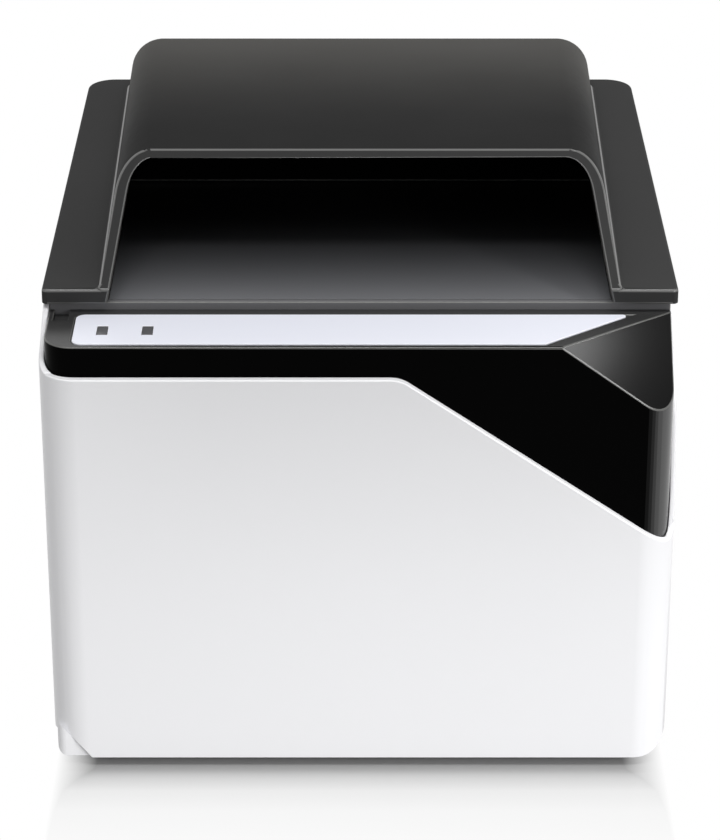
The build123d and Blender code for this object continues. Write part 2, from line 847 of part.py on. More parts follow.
top_deck.part.label = "top_deck"
export_step(top_deck.part, "parts/top_deck.step")

# Toughened glass, flush with the deck, on a foam gasket
gasket_z = deck_z - glass_thickness - gasket_thickness
with BuildPart() as glass_gasket:
    with BuildSketch(Plane.XY.offset(gasket_z)):
        with Locations((0, optical_y)):
            Rectangle(glass_width, glass_depth)
            Rectangle(
                glass_width - 2 * gasket_width, glass_depth - 2 * gasket_width, mode=Mode.SUBTRACT
            )
    extrude(amount=gasket_thickness)
glass_gasket.part.label = "glass_gasket"
export_step(glass_gasket.part, "parts/glass_gasket.step")

with BuildPart() as platen_glass:
    with BuildSketch(Plane.XY.offset(deck_z - glass_thickness)):
        with Locations((0, optical_y)):
            Rectangle(glass_width, glass_depth)
    extrude(amount=glass_thickness)
    chamfer(platen_glass.edges().group_by(Axis.Z)[-1], glass_gap)
platen_glass.part.label = "platen_glass"
export_step(platen_glass.part, "parts/platen_glass.step")

# Antenna board: a printed ring round the glass window, with a tab for its lead
with BuildPart() as antenna_board:
    with BuildSketch(Plane.XY.offset(antenna_z)):
        with Locations((0, optical_y)):
            Rectangle(2 * (antenna_half + antenna_width), 2 * (antenna_half_y + antenna_width))
        with Locations((antenna_tab_x, antenna_rear_y)):
            Rectangle(*antenna_tab, align=(Align.CENTER, Align.MIN))
        with Locations((0, optical_y)):
            Rectangle(2 * antenna_half, 2 * antenna_half_y, mode=Mode.SUBTRACT)
    extrude(amount=antenna_thickness)
antenna_board.part.label = "antenna_board"
export_step(antenna_board.part, "parts/antenna_board.step")

# Light shroud: a matt black funnel from the glass down to the camera, closed at the foot
shroud_top_z = antenna_z
shroud_top = (2 * (window_half + shroud_wall), 2 * (window_half_y + shroud_wall))
shroud_inner_top = (2 * window_half, 2 * window_half_y)
shroud_inner_base = (shroud_base[0] - 2 * shroud_wall, shroud_base[1] - 2 * shroud_wall)
led_board_z = bracket_top_z + shroud_wall
led_top_z = led_board_z + board_thickness
with BuildPart() as light_shroud:
    with BuildSketch(Plane.XY.offset(bracket_top_z)):
        with Locations((0, optical_y)):
            Rectangle(*shroud_base)
    with BuildSketch(Plane.XY.offset(shroud_top_z)):
        with Locations((0, optical_y)):
            Rectangle(*shroud_top)
    loft(ruled=True)
    with BuildSketch(Plane.XY.offset(shroud_top_z)):
        with Locations((0, optical_y)):
            Rectangle(2 * (antenna_half + antenna_width), 2 * (antenna_half_y + antenna_width))
        with Locations(*shroud_places):
            Rectangle(2 * shroud_ear_reach, shroud_ear_width)
        with Locations(*[(x - x / abs(x) * shroud_ear_reach, y) for x, y in shroud_places]):
            Rectangle(2 * shroud_ear_reach, shroud_ear_width)
        with Locations(*shroud_places):
            Circle(board_screw[2] + hole_gap, mode=Mode.SUBTRACT)
    extrude(amount=-shroud_flange)
    with BuildSketch(Plane.XY.offset(led_board_z)):
        with Locations((0, optical_y)):
            Rectangle(*shroud_inner_base)
    with BuildSketch(Plane.XY.offset(shroud_top_z)):
        with Locations((0, optical_y)):
            Rectangle(*shroud_inner_top)
    loft(ruled=True, mode=Mode.SUBTRACT)
    with BuildSketch(Plane.XY.offset(bracket_top_z)):
        with Locations((0, optical_y)):
            Circle(shroud_hole)
    extrude(amount=shroud_wall, mode=Mode.SUBTRACT)
    with BuildSketch(Plane.XZ.offset(-optical_y)):
        with Locations((-led_ribbon_x, led_top_z), (led_ribbon_x, led_top_z)):
            Rectangle(
                led_ribbon_width + 2 * ribbon_gap,
                ribbon_thickness + 2 * ribbon_gap,
                align=(Align.CENTER, Align.MIN),
            )
    extrude(amount=-shroud_base[1], mode=Mode.SUBTRACT)
light_shroud.part.label = "light_shroud"
export_step(light_shroud.part, "parts/light_shroud.step")

# Light boards on the shroud's floor, one each side of the lens, with a row of diodes each
with BuildPart() as led_boards:
    with BuildSketch(Plane.XY.offset(led_board_z)):
        with Locations((-led_board_x, optical_y), (led_board_x, optical_y)):
            Rectangle(*led_board_size)
    extrude(amount=board_thickness)
led_boards.part.label = "led_boards"
export_step(led_boards.part, "parts/led_boards.step")

with BuildPart() as led_emitters:
    with BuildSketch(Plane.XY.offset(led_top_z)):
        with Locations((-led_x, optical_y), (led_x, optical_y)):
            with GridLocations(0, led_spacing, 1, led_count):
                Rectangle(*led_size[:2])
    extrude(amount=led_size[2])
led_emitters.part.label = "led_emitters"
export_step(led_emitters.part, "parts/led_emitters.step")

# Chassis plate: pressed steel on the shell's floor, with standoffs for the two boards
with BuildPart() as chassis_plate:
    with BuildSketch(Plane.XY.offset(shell_floor_z)):
        with Locations((0, (floor_opening_front_y + floor_opening_rear_y) / 2)):
            RectangleRounded(
                2 * (floor_opening_half - plate_gap),
                floor_opening_rear_y - floor_opening_front_y - 2 * plate_gap,
                plate_corner - plate_gap,
            )
    extrude(amount=plate_thickness)
    with BuildSketch(Plane.XY.offset(plate_z)):
        with Locations(*camera_places, *main_places):
            Circle(standoff_radius)
    extrude(amount=board_lift)
    with BuildSketch(Plane.XY.offset(plate_z)):
        with Locations(*plate_places):
            Circle(boss_radius - hole_gap)
    extrude(amount=plate_boss_height)
    with BuildSketch(Plane.XY.offset(shell_floor_z)):
        with Locations(*plate_places):
            Circle(case_screw[2] + thread_gap)
    extrude(amount=plate_thickness + plate_boss_height, mode=Mode.SUBTRACT)
    with BuildSketch(Plane.XY.offset(shell_floor_z)):
        with Locations(*camera_places, *main_places):
            Circle(board_screw[2] + thread_gap)
    extrude(amount=plate_thickness + board_lift, mode=Mode.SUBTRACT)
    with BuildSketch(Plane.XY.offset(shell_floor_z)):
        with Locations((0, slot_y)):
            with GridLocations(slot_spacing, 0, slot_count, 1):
                SlotOverall(slot_size[1], slot_size[0], rotation=90)
        with Locations((0, optical_y)):
            with GridLocations(
                2 * (bracket_half + bracket_foot - bracket_screw_inset), bracket_screw_spacing, 2, 2
            ):
                Circle(board_screw[2] + thread_gap)
    extrude(amount=plate_thickness, mode=Mode.SUBTRACT)
chassis_plate.part.label = "chassis_plate"
export_step(chassis_plate.part, "parts/chassis_plate.step")

# Camera bracket: a folded steel bridge over the camera board that carries the shroud
bracket_low_z = plate_z + bracket_thickness / 2
bracket_high_z = bracket_top_z - bracket_thickness / 2
bracket_end = bracket_half + bracket_foot
with BuildPart() as camera_bracket:
    with BuildSketch(Plane.XZ.offset(-optical_y)):
        with BuildLine():
            FilletPolyline(
                (-bracket_end, bracket_low_z),
                (-bracket_half, bracket_low_z),
                (-bracket_half, bracket_high_z),
                (bracket_half, bracket_high_z),
                (bracket_half, bracket_low_z),
                (bracket_end, bracket_low_z),
                radius=bracket_bend,
            )
        trace(line_width=bracket_thickness)
    extrude(amount=bracket_depth / 2, both=True)
    with BuildSketch(Plane.XY.offset(bracket_high_z)):
        with Locations((0, optical_y)):
            Circle(bracket_hole)
    extrude(amount=bracket_thickness, both=True, mode=Mode.SUBTRACT)
    with BuildSketch(Plane.XY.offset(plate_z)):
        with Locations((0, optical_y)):
            with GridLocations(2 * (bracket_end - bracket_screw_inset), bracket_screw_spacing, 2, 2):
                Circle(board_screw[2] + hole_gap)
    extrude(amount=bracket_thickness, mode=Mode.SUBTRACT)
camera_bracket.part.label = "camera_bracket"
export_step(camera_bracket.part, "parts/camera_bracket.step")

with BuildPart() as bracket_screws:
    with Locations((0, optical_y, plate_z + bracket_thickness)):
        with GridLocations(2 * (bracket_end - bracket_screw_inset), bracket_screw_spacing, 2, 2):
            add(pan_screw(board_screw, plate_thickness + bracket_thickness), rotation=(180, 0, 0))
bracket_screws.part.label = "bracket_screws"
export_step(bracket_screws.part, "parts/bracket_screws.step")

# Camera: board, image sensor, lens holder, lens barrel and front lens on the glass's middle line
with BuildPart() as camera_board:
    with BuildSketch(Plane.XY.offset(board_z)):
        with Locations((0, optical_y)):
            RectangleRounded(camera_board_size, camera_board_size, standoff_radius)
        with Locations(*camera_places):
            Circle(board_screw[2] + hole_gap, mode=Mode.SUBTRACT)
    extrude(amount=board_thickness)
camera_board.part.label = "camera_board"
export_step(camera_board.part, "parts/camera_board.step")

with BuildPart() as image_sensor:
    with Locations((0, optical_y, board_top_z)):
        Box(*sensor_size, align=(Align.CENTER, Align.CENTER, Align.MIN))
image_sensor.part.label = "image_sensor"
export_step(image_sensor.part, "parts/image_sensor.step")

barrel_z = board_top_z + barrel_lift
with BuildPart() as lens_holder:
    with BuildSketch(Plane.XY.offset(board_top_z)):
        with Locations((0, optical_y)):
            RectangleRounded(holder_size, holder_size, holder_corner)
    extrude(amount=holder_shoulder)
    with BuildSketch(Plane.XY.offset(board_top_z)):
        with Locations((0, optical_y)):
            Circle(holder_size / 2)
    extrude(amount=holder_height)
    with BuildSketch(Plane.XY.offset(board_top_z)):
        with Locations((0, optical_y)):
            Circle(barrel_radius + thread_gap)
            Rectangle(sensor_size[0] + 2 * sensor_gap, sensor_size[1] + 2 * sensor_gap)
    extrude(amount=barrel_lift, mode=Mode.SUBTRACT)
    with BuildSketch(Plane.XY.offset(board_top_z)):
        with Locations((0, optical_y)):
            Circle(barrel_radius + thread_gap)
    extrude(amount=holder_height, mode=Mode.SUBTRACT)
lens_holder.part.label = "lens_holder"
export_step(lens_holder.part, "parts/lens_holder.step")

with BuildPart() as lens_barrel:
    with BuildSketch(Plane.XY.offset(barrel_z)):
        with Locations((0, optical_y)):
            Circle(barrel_radius)
            Circle(lens_radius - lens_seat, mode=Mode.SUBTRACT)
    extrude(amount=barrel_height)
    with BuildSketch(Plane.XY.offset(barrel_z + barrel_height)):
        with Locations((0, optical_y)):
            Circle(lens_radius + thread_gap)
    extrude(amount=-lens_seat - lens_thickness, mode=Mode.SUBTRACT)
    chamfer(lens_barrel.edges().group_by(Axis.Z)[-1], barrel_chamfer)
lens_barrel.part.label = "lens_barrel"
export_step(lens_barrel.part, "parts/lens_barrel.step")

lens_z = barrel_z + barrel_height - lens_seat - lens_thickness
lens_edge_z = lens_z + lens_thickness
with BuildPart() as camera_lens:
    with BuildSketch(Plane.XZ.offset(-optical_y)):
        with BuildLine():
            ThreePointArc(
                (0, lens_edge_z + lens_crown),
                (lens_radius / 2, lens_edge_z + 0.75 * lens_crown),
                (lens_radius, lens_edge_z),
            )
            Polyline(
                (lens_radius, lens_edge_z),
                (lens_radius, lens_z),
                (0, lens_z),
                (0, lens_edge_z + lens_crown),
            )
        make_face()
    revolve(axis=Axis((0, optical_y, 0), (0, 0, 1)))
camera_lens.part.label = "camera_lens"
export_step(camera_lens.part, "parts/camera_lens.step")

camera_rear_y = optical_y + camera_board_size / 2
with BuildPart() as camera_connector:
    with Locations((0, camera_rear_y, board_top_z)):
        Box(
            camera_ribbon_width + connector_margin,
            connector_depth,
            connector_height,
            align=(Align.CENTER, Align.MAX, Align.MIN),
        )
camera_connector.part.label = "camera_connector"
export_step(camera_connector.part, "parts/camera_connector.step")

# Main board with its parts, on the rear standoffs
ribbon_z = board_top_z + connector_height / 2
connector_places = [
    (0, camera_ribbon_width),
    (-led_ribbon_x, led_ribbon_width),
    (led_ribbon_x, led_ribbon_width),
    (indicator_ribbon_x, indicator_ribbon_width),
]
with BuildPart() as main_board:
    with BuildSketch(Plane.XY.offset(board_z)):
        with Locations((0, (main_front_y + main_rear_y) / 2)):
            Rectangle(2 * main_half, main_rear_y - main_front_y)
        with Locations(*main_places):
            Circle(board_screw[2] + hole_gap, mode=Mode.SUBTRACT)
    extrude(amount=board_thickness)
main_board.part.label = "main_board"
export_step(main_board.part, "parts/main_board.step")

with BuildPart() as board_connectors:
    for place_x, ribbon_width in connector_places:
        with Locations((place_x, main_front_y, board_top_z)):
            Box(
                ribbon_width + connector_margin,
                connector_depth,
                connector_height,
                align=(Align.CENTER, Align.MIN, Align.MIN),
            )
board_connectors.part.label = "board_connectors"
export_step(board_connectors.part, "parts/board_connectors.step")

with BuildPart() as processor:
    with Locations((0, processor_y, board_top_z)):
        Box(*processor_size, align=(Align.CENTER, Align.CENTER, Align.MIN))
processor.part.label = "processor"
export_step(processor.part, "parts/processor.step")

sink_z = board_top_z + processor_size[2]
with BuildPart() as heat_sink:
    with Locations((0, processor_y, sink_z)):
        Box(sink_size, sink_size, sink_base, align=(Align.CENTER, Align.CENTER, Align.MIN))
        with GridLocations((sink_size - fin_thickness) / (fin_count - 1), 0, fin_count, 1):
            Box(fin_thickness, sink_size, sink_height, align=(Align.CENTER, Align.CENTER, Align.MIN))
heat_sink.part.label = "heat_sink"
export_step(heat_sink.part, "parts/heat_sink.step")

with BuildPart() as memory_chips:
    with Locations(*[(memory_x, y, board_top_z) for y in memory_y]):
        Box(*memory_size, align=(Align.CENTER, Align.CENTER, Align.MIN))
memory_chips.part.label = "memory_chips"
export_step(memory_chips.part, "parts/memory_chips.step")

with BuildPart() as buzzer:
    with BuildSketch(Plane.XY.offset(board_top_z)):
        with Locations(buzzer_place):
            Circle(buzzer_radius)
    extrude(amount=buzzer_height)
    with BuildSketch(Plane.XY.offset(board_top_z + buzzer_height)):
        with Locations(buzzer_place):
            Circle(buzzer_hole_radius)
    extrude(amount=-buzzer_hole_depth, mode=Mode.SUBTRACT)
buzzer.part.label = "buzzer"
export_step(buzzer.part, "parts/buzzer.step")

with BuildPart() as board_capacitors:
    with BuildSketch(Plane.XY.offset(board_top_z)):
        with Locations(*[(x, capacitor_y) for x in capacitor_x]):
            Circle(capacitor_radius)
    extrude(amount=capacitor_height)
    chamfer(board_capacitors.edges().group_by(Axis.Z)[-1], capacitor_chamfer)
board_capacitors.part.label = "board_capacitors"
export_step(board_capacitors.part, "parts/board_capacitors.step")

with BuildPart() as board_screws:
    with Locations(*[(x, y, board_top_z) for x, y in camera_places + main_places]):
        add(pan_screw(board_screw, board_thickness + board_lift), rotation=(180, 0, 0))
board_screws.part.label = "board_screws"
export_step(board_screws.part, "parts/board_screws.step")

# Flat cables between the boards, and the antenna's thin lead
flex_gap = main_front_y - camera_rear_y
camera_flex = ribbon(
    0,
    camera_ribbon_width,
    [
        (camera_rear_y, ribbon_z),
        (camera_rear_y + flex_gap * flex_steps[0], ribbon_z),
        (camera_rear_y + flex_gap * flex_steps[1], ribbon_z - flex_dip),
        (camera_rear_y + flex_gap * flex_steps[2], ribbon_z - flex_dip),
        (camera_rear_y + flex_gap * flex_steps[3], ribbon_z),
        (main_front_y, ribbon_z),
    ],
)
camera_flex.label = "camera_flex"
export_step(camera_flex, "parts/camera_flex.step")

led_ribbon_z = led_top_z + ribbon_thickness / 2
led_fall_y = optical_y + shroud_base[1] / 2 + led_ribbon_clear
with BuildPart() as led_cables:
    for side in (-1, 1):
        add(
            ribbon(
                side * led_ribbon_x,
                led_ribbon_width,
                [
                    (optical_y + led_board_size[1] / 4, led_ribbon_z),
                    (led_fall_y, led_ribbon_z),
                    (led_fall_y + led_ribbon_fall, ribbon_z),
                    (main_front_y, ribbon_z),
                ],
            )
        )
led_cables.part.label = "led_cables"
export_step(led_cables.part, "parts/led_cables.step")

indicator_under_z = indicator_z - indicator_board_thickness
front_inner_y = front_y + front_wall + nest_gap + housing_wall
wall_run_y = front_inner_y + indicator_ribbon_wall_gap
floor_run_z = plate_z + indicator_ribbon_floor_gap
indicator_cable = ribbon(
    indicator_ribbon_x,
    indicator_ribbon_width,
    [
        (window_y + indicator_ribbon_start, indicator_under_z),
        (window_y + indicator_ribbon_start, indicator_under_z - indicator_ribbon_drops[0]),
        (wall_run_y, indicator_under_z - indicator_ribbon_drops[1]),
        (wall_run_y, plate_z + indicator_ribbon_turn[1]),
        (front_inner_y + indicator_ribbon_turn[0], floor_run_z),
        (main_front_y - indicator_ribbon_rise[0], floor_run_z),
        (main_front_y - indicator_ribbon_rise[1], ribbon_z),
        (main_front_y, ribbon_z),
    ],
)
indicator_cable.label = "indicator_cable"
export_step(indicator_cable, "parts/indicator_cable.step")

with BuildPart() as antenna_cable:
    with BuildLine() as lead:
        FilletPolyline(
            (antenna_tab_x, lead_y, antenna_z),
            (antenna_tab_x, lead_y, antenna_z - coax_drops[0]),
            (*sway_place, antenna_z - coax_drops[1]),
            (*sway_place, board_top_z + coax_lifts[0]),
            (*landing_place, board_top_z + coax_lifts[1]),
            (*landing_place, board_top_z),
            radius=coax_bend,
        )
    with BuildSketch(Plane(origin=lead.line @ 0, z_dir=lead.line % 0)):
        Circle(coax_radius)
    sweep()
antenna_cable.part.label = "antenna_cable"
export_step(antenna_cable.part, "parts/antenna_cable.step")

# Rear panel: closes the housing's open back, with cut-outs for the sockets, switch, lock and air
panel_low_z = housing_floor_z + panel_gap
panel_half = housing_inner_half - panel_gap
panel_radius = cavity_radius - nest_gap - housing_wall - corner_radius + base_radius
usb_z = board_top_z + usb_size[1] / 2
dc_z = board_top_z + dc_size[1] / 2
with BuildPart() as rear_panel:
    with BuildSketch(Plane.XZ.offset(-rear_y)) as panel:
        with Locations((0, (panel_low_z + deck_under_z - panel_gap) / 2)):
            Rectangle(2 * panel_half, deck_under_z - panel_gap - panel_low_z)
        fillet(panel.vertices().group_by(Axis.Y)[0], panel_radius)
        with Locations((usb_x, usb_z)):
            Rectangle(usb_size[0] + 2 * socket_gap, usb_size[1] + 2 * socket_gap, mode=Mode.SUBTRACT)
        with Locations((dc_x, dc_z)):
            Rectangle(dc_size[0] + 2 * socket_gap, dc_size[1] + 2 * socket_gap, mode=Mode.SUBTRACT)
        with Locations((switch_x, switch_z)):
            Rectangle(
                switch_body[0] + 2 * panel_gap, switch_body[1] + 2 * panel_gap, mode=Mode.SUBTRACT
            )
        with Locations((lock_x, lock_z)):
            Rectangle(*lock_slot, mode=Mode.SUBTRACT)
        with Locations((0, vent_z)):
            with GridLocations(vent_spacing, 0, vent_count, 1):
                SlotOverall(vent_size[1], vent_size[0], rotation=90, mode=Mode.SUBTRACT)
        with Locations(*rear_places):
            Circle(case_screw[2] + hole_gap, mode=Mode.SUBTRACT)
    extrude(amount=panel_thickness)
rear_panel.part.label = "rear_panel"
export_step(rear_panel.part, "parts/rear_panel.step")

# Data socket: a steel can with a plastic tongue
with BuildPart() as usb_socket:
    with BuildSketch(Plane.XZ.offset(-rear_y)) as can:
        with Locations((usb_x, usb_z)):
            Rectangle(*usb_size)
        chamfer(can.vertices().group_by(Axis.Y)[-1], usb_chamfer)
    extrude(amount=usb_depth)
    with BuildSketch(Plane.XZ.offset(-rear_y)):
        offset(can.sketch_local.faces()[0], amount=-usb_wall)
    extrude(amount=usb_bore_depth, mode=Mode.SUBTRACT)
usb_socket.part.label = "usb_socket"
export_step(usb_socket.part, "parts/usb_socket.step")

with BuildPart() as usb_tongue:
    with BuildSketch(Plane.XZ.offset(-rear_y + usb_bore_depth)):
        with Locations((usb_x, usb_z)):
            Rectangle(*usb_tongue_size)
    extrude(amount=contact_inset - usb_bore_depth)
usb_tongue.part.label = "usb_tongue"
export_step(usb_tongue.part, "parts/usb_tongue.step")

# Power socket: a plastic block with a round bore and a centre pin
with BuildPart() as dc_socket:
    with BuildSketch(Plane.XZ.offset(-rear_y)):
        with Locations((dc_x, dc_z)):
            Rectangle(*dc_size)
    extrude(amount=dc_depth)
    with BuildSketch(Plane.XZ.offset(-rear_y)):
        with Locations((dc_x, dc_z)):
            Circle(dc_bore_radius)
    extrude(amount=dc_bore_depth, mode=Mode.SUBTRACT)
dc_socket.part.label = "dc_socket"
export_step(dc_socket.part, "parts/dc_socket.step")

with BuildPart() as dc_pin:
    with BuildSketch(Plane.XZ.offset(-rear_y + dc_bore_depth)):
        with Locations((dc_x, dc_z)):
            Circle(dc_pin_radius)
    extrude(amount=contact_inset - dc_bore_depth)
    fillet(dc_pin.edges().group_by(Axis.Y)[-1], dc_pin_round)
dc_pin.part.label = "dc_pin"
export_step(dc_pin.part, "parts/dc_pin.step")

# Power switch: snap-in frame, rocker on its own pivot pins, terminals and wires
switch_outer_y = rear_y + switch_lip_thickness
switch_inner_y = rear_y - switch_depth
rocker_y = rear_y - rocker_pivot_in
with BuildPart() as switch_frame:
    with BuildSketch(Plane.XZ.offset(-rear_y)):
        with Locations((switch_x, switch_z)):
            Rectangle(*switch_body)
    extrude(amount=switch_depth)
    with BuildSketch(Plane.XZ.offset(-rear_y)):
        with Locations((switch_x, switch_z)):
            RectangleRounded(
                switch_body[0] + 2 * switch_lip, switch_body[1] + 2 * switch_lip, switch_corner
            )
    extrude(amount=-switch_lip_thickness)
    with BuildSketch(Plane.XZ.offset(-switch_outer_y)):
        with Locations((switch_x, switch_z)):
            Rectangle(*switch_cavity)
    extrude(amount=switch_lip_thickness + switch_depth - switch_back, mode=Mode.SUBTRACT)
    with BuildSketch(Plane.YZ.offset(switch_x)):
        with Locations((rocker_y, switch_z)):
            Circle(rocker_pin_radius + pin_run)
    extrude(amount=switch_body[0] / 2, both=True, mode=Mode.SUBTRACT)
switch_frame.part.label = "switch_frame"
export_step(switch_frame.part, "parts/switch_frame.step")

tilt = radians(-rocker_tilt)
rocker_plane = Plane(
    origin=(switch_x, rocker_y, switch_z), x_dir=(0, cos(tilt), sin(tilt)), z_dir=(1, 0, 0)
)
with BuildPart() as switch_rocker:
    with BuildSketch(rocker_plane):
        with BuildLine():
            Polyline(
                rocker_end,
                (rocker_valley, 0),
                (rocker_end[0], -rocker_end[1]),
                (rocker_shoulder[0], -rocker_shoulder[1]),
                (-rocker_root[0], -rocker_root[1]),
                (-rocker_root[0], rocker_root[1]),
                rocker_shoulder,
                close=True,
            )
        make_face()
    extrude(amount=rocker_width / 2, both=True)
    with BuildSketch(rocker_plane):
        Circle(rocker_pin_radius)
    extrude(amount=rocker_pin_length / 2, both=True)
switch_rocker.part.label = "switch_rocker"
export_step(switch_rocker.part, "parts/switch_rocker.step")

terminal_heights = (switch_z - terminal_rise, switch_z + terminal_rise)
with BuildPart() as switch_terminals:
    with Locations(*[(switch_x, switch_inner_y, z) for z in terminal_heights]):
        Box(*terminal_size, align=(Align.CENTER, Align.MAX, Align.CENTER))
switch_terminals.part.label = "switch_terminals"
export_step(switch_terminals.part, "parts/switch_terminals.step")

with BuildPart() as switch_wires:
    for height, reach in zip(terminal_heights, switch_wire_reach):
        wire_y = switch_inner_y - terminal_size[1]
        with BuildLine() as run:
            FilletPolyline(
                (switch_x, wire_y, height),
                (switch_x, wire_y - reach, height),
                (switch_x, wire_y - reach, board_top_z),
                radius=ribbon_bend,
            )
        with BuildSketch(Plane(origin=run.line @ 0, z_dir=run.line % 0)):
            Circle(coax_radius)
        sweep()
switch_wires.part.label = "switch_wires"
export_step(switch_wires.part, "parts/switch_wires.step")

# Steel plate behind the security lock's slot
with BuildPart() as lock_plate:
    with BuildSketch(Plane.XZ.offset(-panel_front_y)):
        with Locations((lock_x, lock_z)):
            Rectangle(*lock_plate_size)
            Rectangle(*lock_slot, mode=Mode.SUBTRACT)
    extrude(amount=lock_plate_thickness)
lock_plate.part.label = "lock_plate"
export_step(lock_plate.part, "parts/lock_plate.step")

# Rubber feet with plugs in the shell's floor, and the bumpers that the hood lies on
with BuildPart() as rubber_feet:
    with BuildSketch():
        with Locations(*foot_places):
            Circle(foot_radius)
    extrude(amount=foot_height)
    chamfer(rubber_feet.edges().group_by(Axis.Z)[0], foot_edge)
    with BuildSketch(Plane.XY.offset(foot_height)):
        with Locations(*foot_places):
            Circle(foot_plug_radius)
    extrude(amount=floor_wall - nest_gap)
rubber_feet.part.label = "rubber_feet"
export_step(rubber_feet.part, "parts/rubber_feet.step")

with BuildPart() as hood_bumpers:
    with BuildSketch(Plane.XY.offset(deck_z - bumper_seat)):
        with Locations(*bumper_places):
            Circle(bumper_radius)
    extrude(amount=bumper_seat + hood_gap)
hood_bumpers.part.label = "hood_bumpers"
export_step(hood_bumpers.part, "parts/hood_bumpers.step")

# Case screws
with BuildPart() as base_screws:
    with Locations(*[(x, y, screw_head_z) for x, y in base_places + plate_places]):
        add(pan_screw(case_screw, base_screw_length))
base_screws.part.label = "base_screws"
export_step(base_screws.part, "parts/base_screws.step")

with BuildPart() as deck_screws:
    with Locations(*[(x, y, deck_screw_z) for x, y in deck_places]):
        add(pan_screw(case_screw, deck_boss_height + deck_screw_grip - thread_gap))
deck_screws.part.label = "deck_screws"
export_step(deck_screws.part, "parts/deck_screws.step")

with BuildPart() as shroud_screws:
    with Locations(*[(x, y, shroud_top_z - shroud_flange) for x, y in shroud_places]):
        add(pan_screw(board_screw, shroud_flange + antenna_thickness + deck_screw_grip - thread_gap))
shroud_screws.part.label = "shroud_screws"
export_step(shroud_screws.part, "parts/shroud_screws.step")

with BuildPart() as rear_screws:
    with Locations(*[Location((x, rear_y, z), (90, 0, 0)) for x, z in rear_places]):
        add(pan_screw(case_screw, rear_screw_length))
rear_screws.part.label = "rear_screws"
export_step(rear_screws.part, "parts/rear_screws.step")

# Steel hinge pins, held in the deck's ears
with BuildPart() as hinge_pins:
    for side in (-1, 1):
        with BuildSketch(Plane.YZ.offset(side * ear_inner)):
            with Locations((hinge_y, hinge_z)):
                Circle(pin_radius)
        extrude(amount=side * (ear_outer + ear_width - ear_inner))
    chamfer(hinge_pins.edges(), pin_chamfer)
hinge_pins.part.label = "hinge_pins"
export_step(hinge_pins.part, "parts/hinge_pins.step")


def arch_plan(half_front, rear):
    """Long trapezium that spreads backwards, from well before the mouth to a rear edge."""
    spread = (arch_half_rear - arch_half_front) / (hood_rear_y - hood_front_y)
    near = hood_front_y - far
    half_near = half_front - spread * far
    half_rear = half_front + spread * (rear - hood_front_y)
    with BuildSketch() as plan:
        with BuildLine():
            Polyline(
                (-half_near, near), (half_near, near), (half_rear, rear), (-half_rear, rear), close=True
            )
        make_face()
    return plan.sketch


def arch_form(side, roof, draft, radius):
    """The hood's arch drawn in by its walls: drafted sides that spread backwards, crowned falling roof."""
    foot = arch_half_front - side + flange_thickness * tan(radians(draft))
    near = hood_front_y - far
    with BuildPart() as form:
        with BuildSketch(Plane.XY.offset(flange_z)):
            add(arch_plan(foot, hood_rear_y + far))
        extrude(amount=2 * (mouth_rise + flange_thickness), taper=draft)
        back = hood_rear_y - side
        roof_front = (lip_y, lip_z - roof)
        roof_rear = (back, flange_top_z + rear_rise - roof)
        crown = ((lip_y + back) / 2, (roof_front[1] + roof_rear[1]) / 2 + roof_crown)
        with BuildSketch(Plane.YZ):
            with BuildLine():
                ThreePointArc(roof_front, crown, roof_rear)
                Polyline(roof_rear, (back, flange_z), (near, flange_z), (near, roof_front[1]), roof_front)
            make_face()
        extrude(amount=hood_width, both=True, mode=Mode.INTERSECT)
        long_edges = form.edges().filter_by(
            lambda edge: edge.center().Z > flange_top_z + rear_rise / 3
            and abs(edge.center().X) > arch_half_front / 2
            and edge.bounding_box().size.Y > mouth_rise
        )
        rear_edges = form.edges().filter_by(
            lambda edge: edge.center().Y > back - nest_gap and edge.center().Z > flange_z + nest_gap
        )
        fillet(long_edges + rear_edges, radius)
    return form.part


def slab(low, high):
    """Plain block between two corners, for cutting forms to length."""
    size = [b - a for a, b in zip(low, high)]
    with BuildPart() as block:
        with Locations(low):
            Box(*size, align=(Align.MIN, Align.MIN, Align.MIN))
    return block.part


# Hood: one moulding, an arch on two flanges, cut to a slanted mouth, closed by an inner back wall
arch_outer = arch_form(0, 0, arch_draft, arch_round)
arch_inner = arch_form(arch_wall, roof_wall, cavity_draft, arch_round - arch_wall)
front_cavity = arch_inner & slab(
    (-hood_width, hood_front_y - 2 * far, flange_z - far), (hood_width, back_wall_y, lip_z + far)
)
rear_cavity = arch_inner & slab(
    (-hood_width, back_wall_y + arch_wall, flange_z - far), (hood_width, hood_rear_y, lip_z + far)
)
ribs = [
    slab(
        (x - roof_rib / 2, back_wall_y, flange_top_z + rear_rise - roof_rib_depth),
        (x + roof_rib / 2, hood_rear_y, lip_z + far),
    )
    for x in roof_rib_x
]
flange_pocket_outer = hood_width / 2 - flange_skirt
flange_pocket_width = flange_pocket_outer - arch_half_rear - flange_pocket_margin
flange_pocket_x = flange_pocket_outer - flange_pocket_width / 2
flange_pocket_step = (bumper_y[1] - bumper_y[0] - 2 * flange_pocket_end) / flange_pocket_count
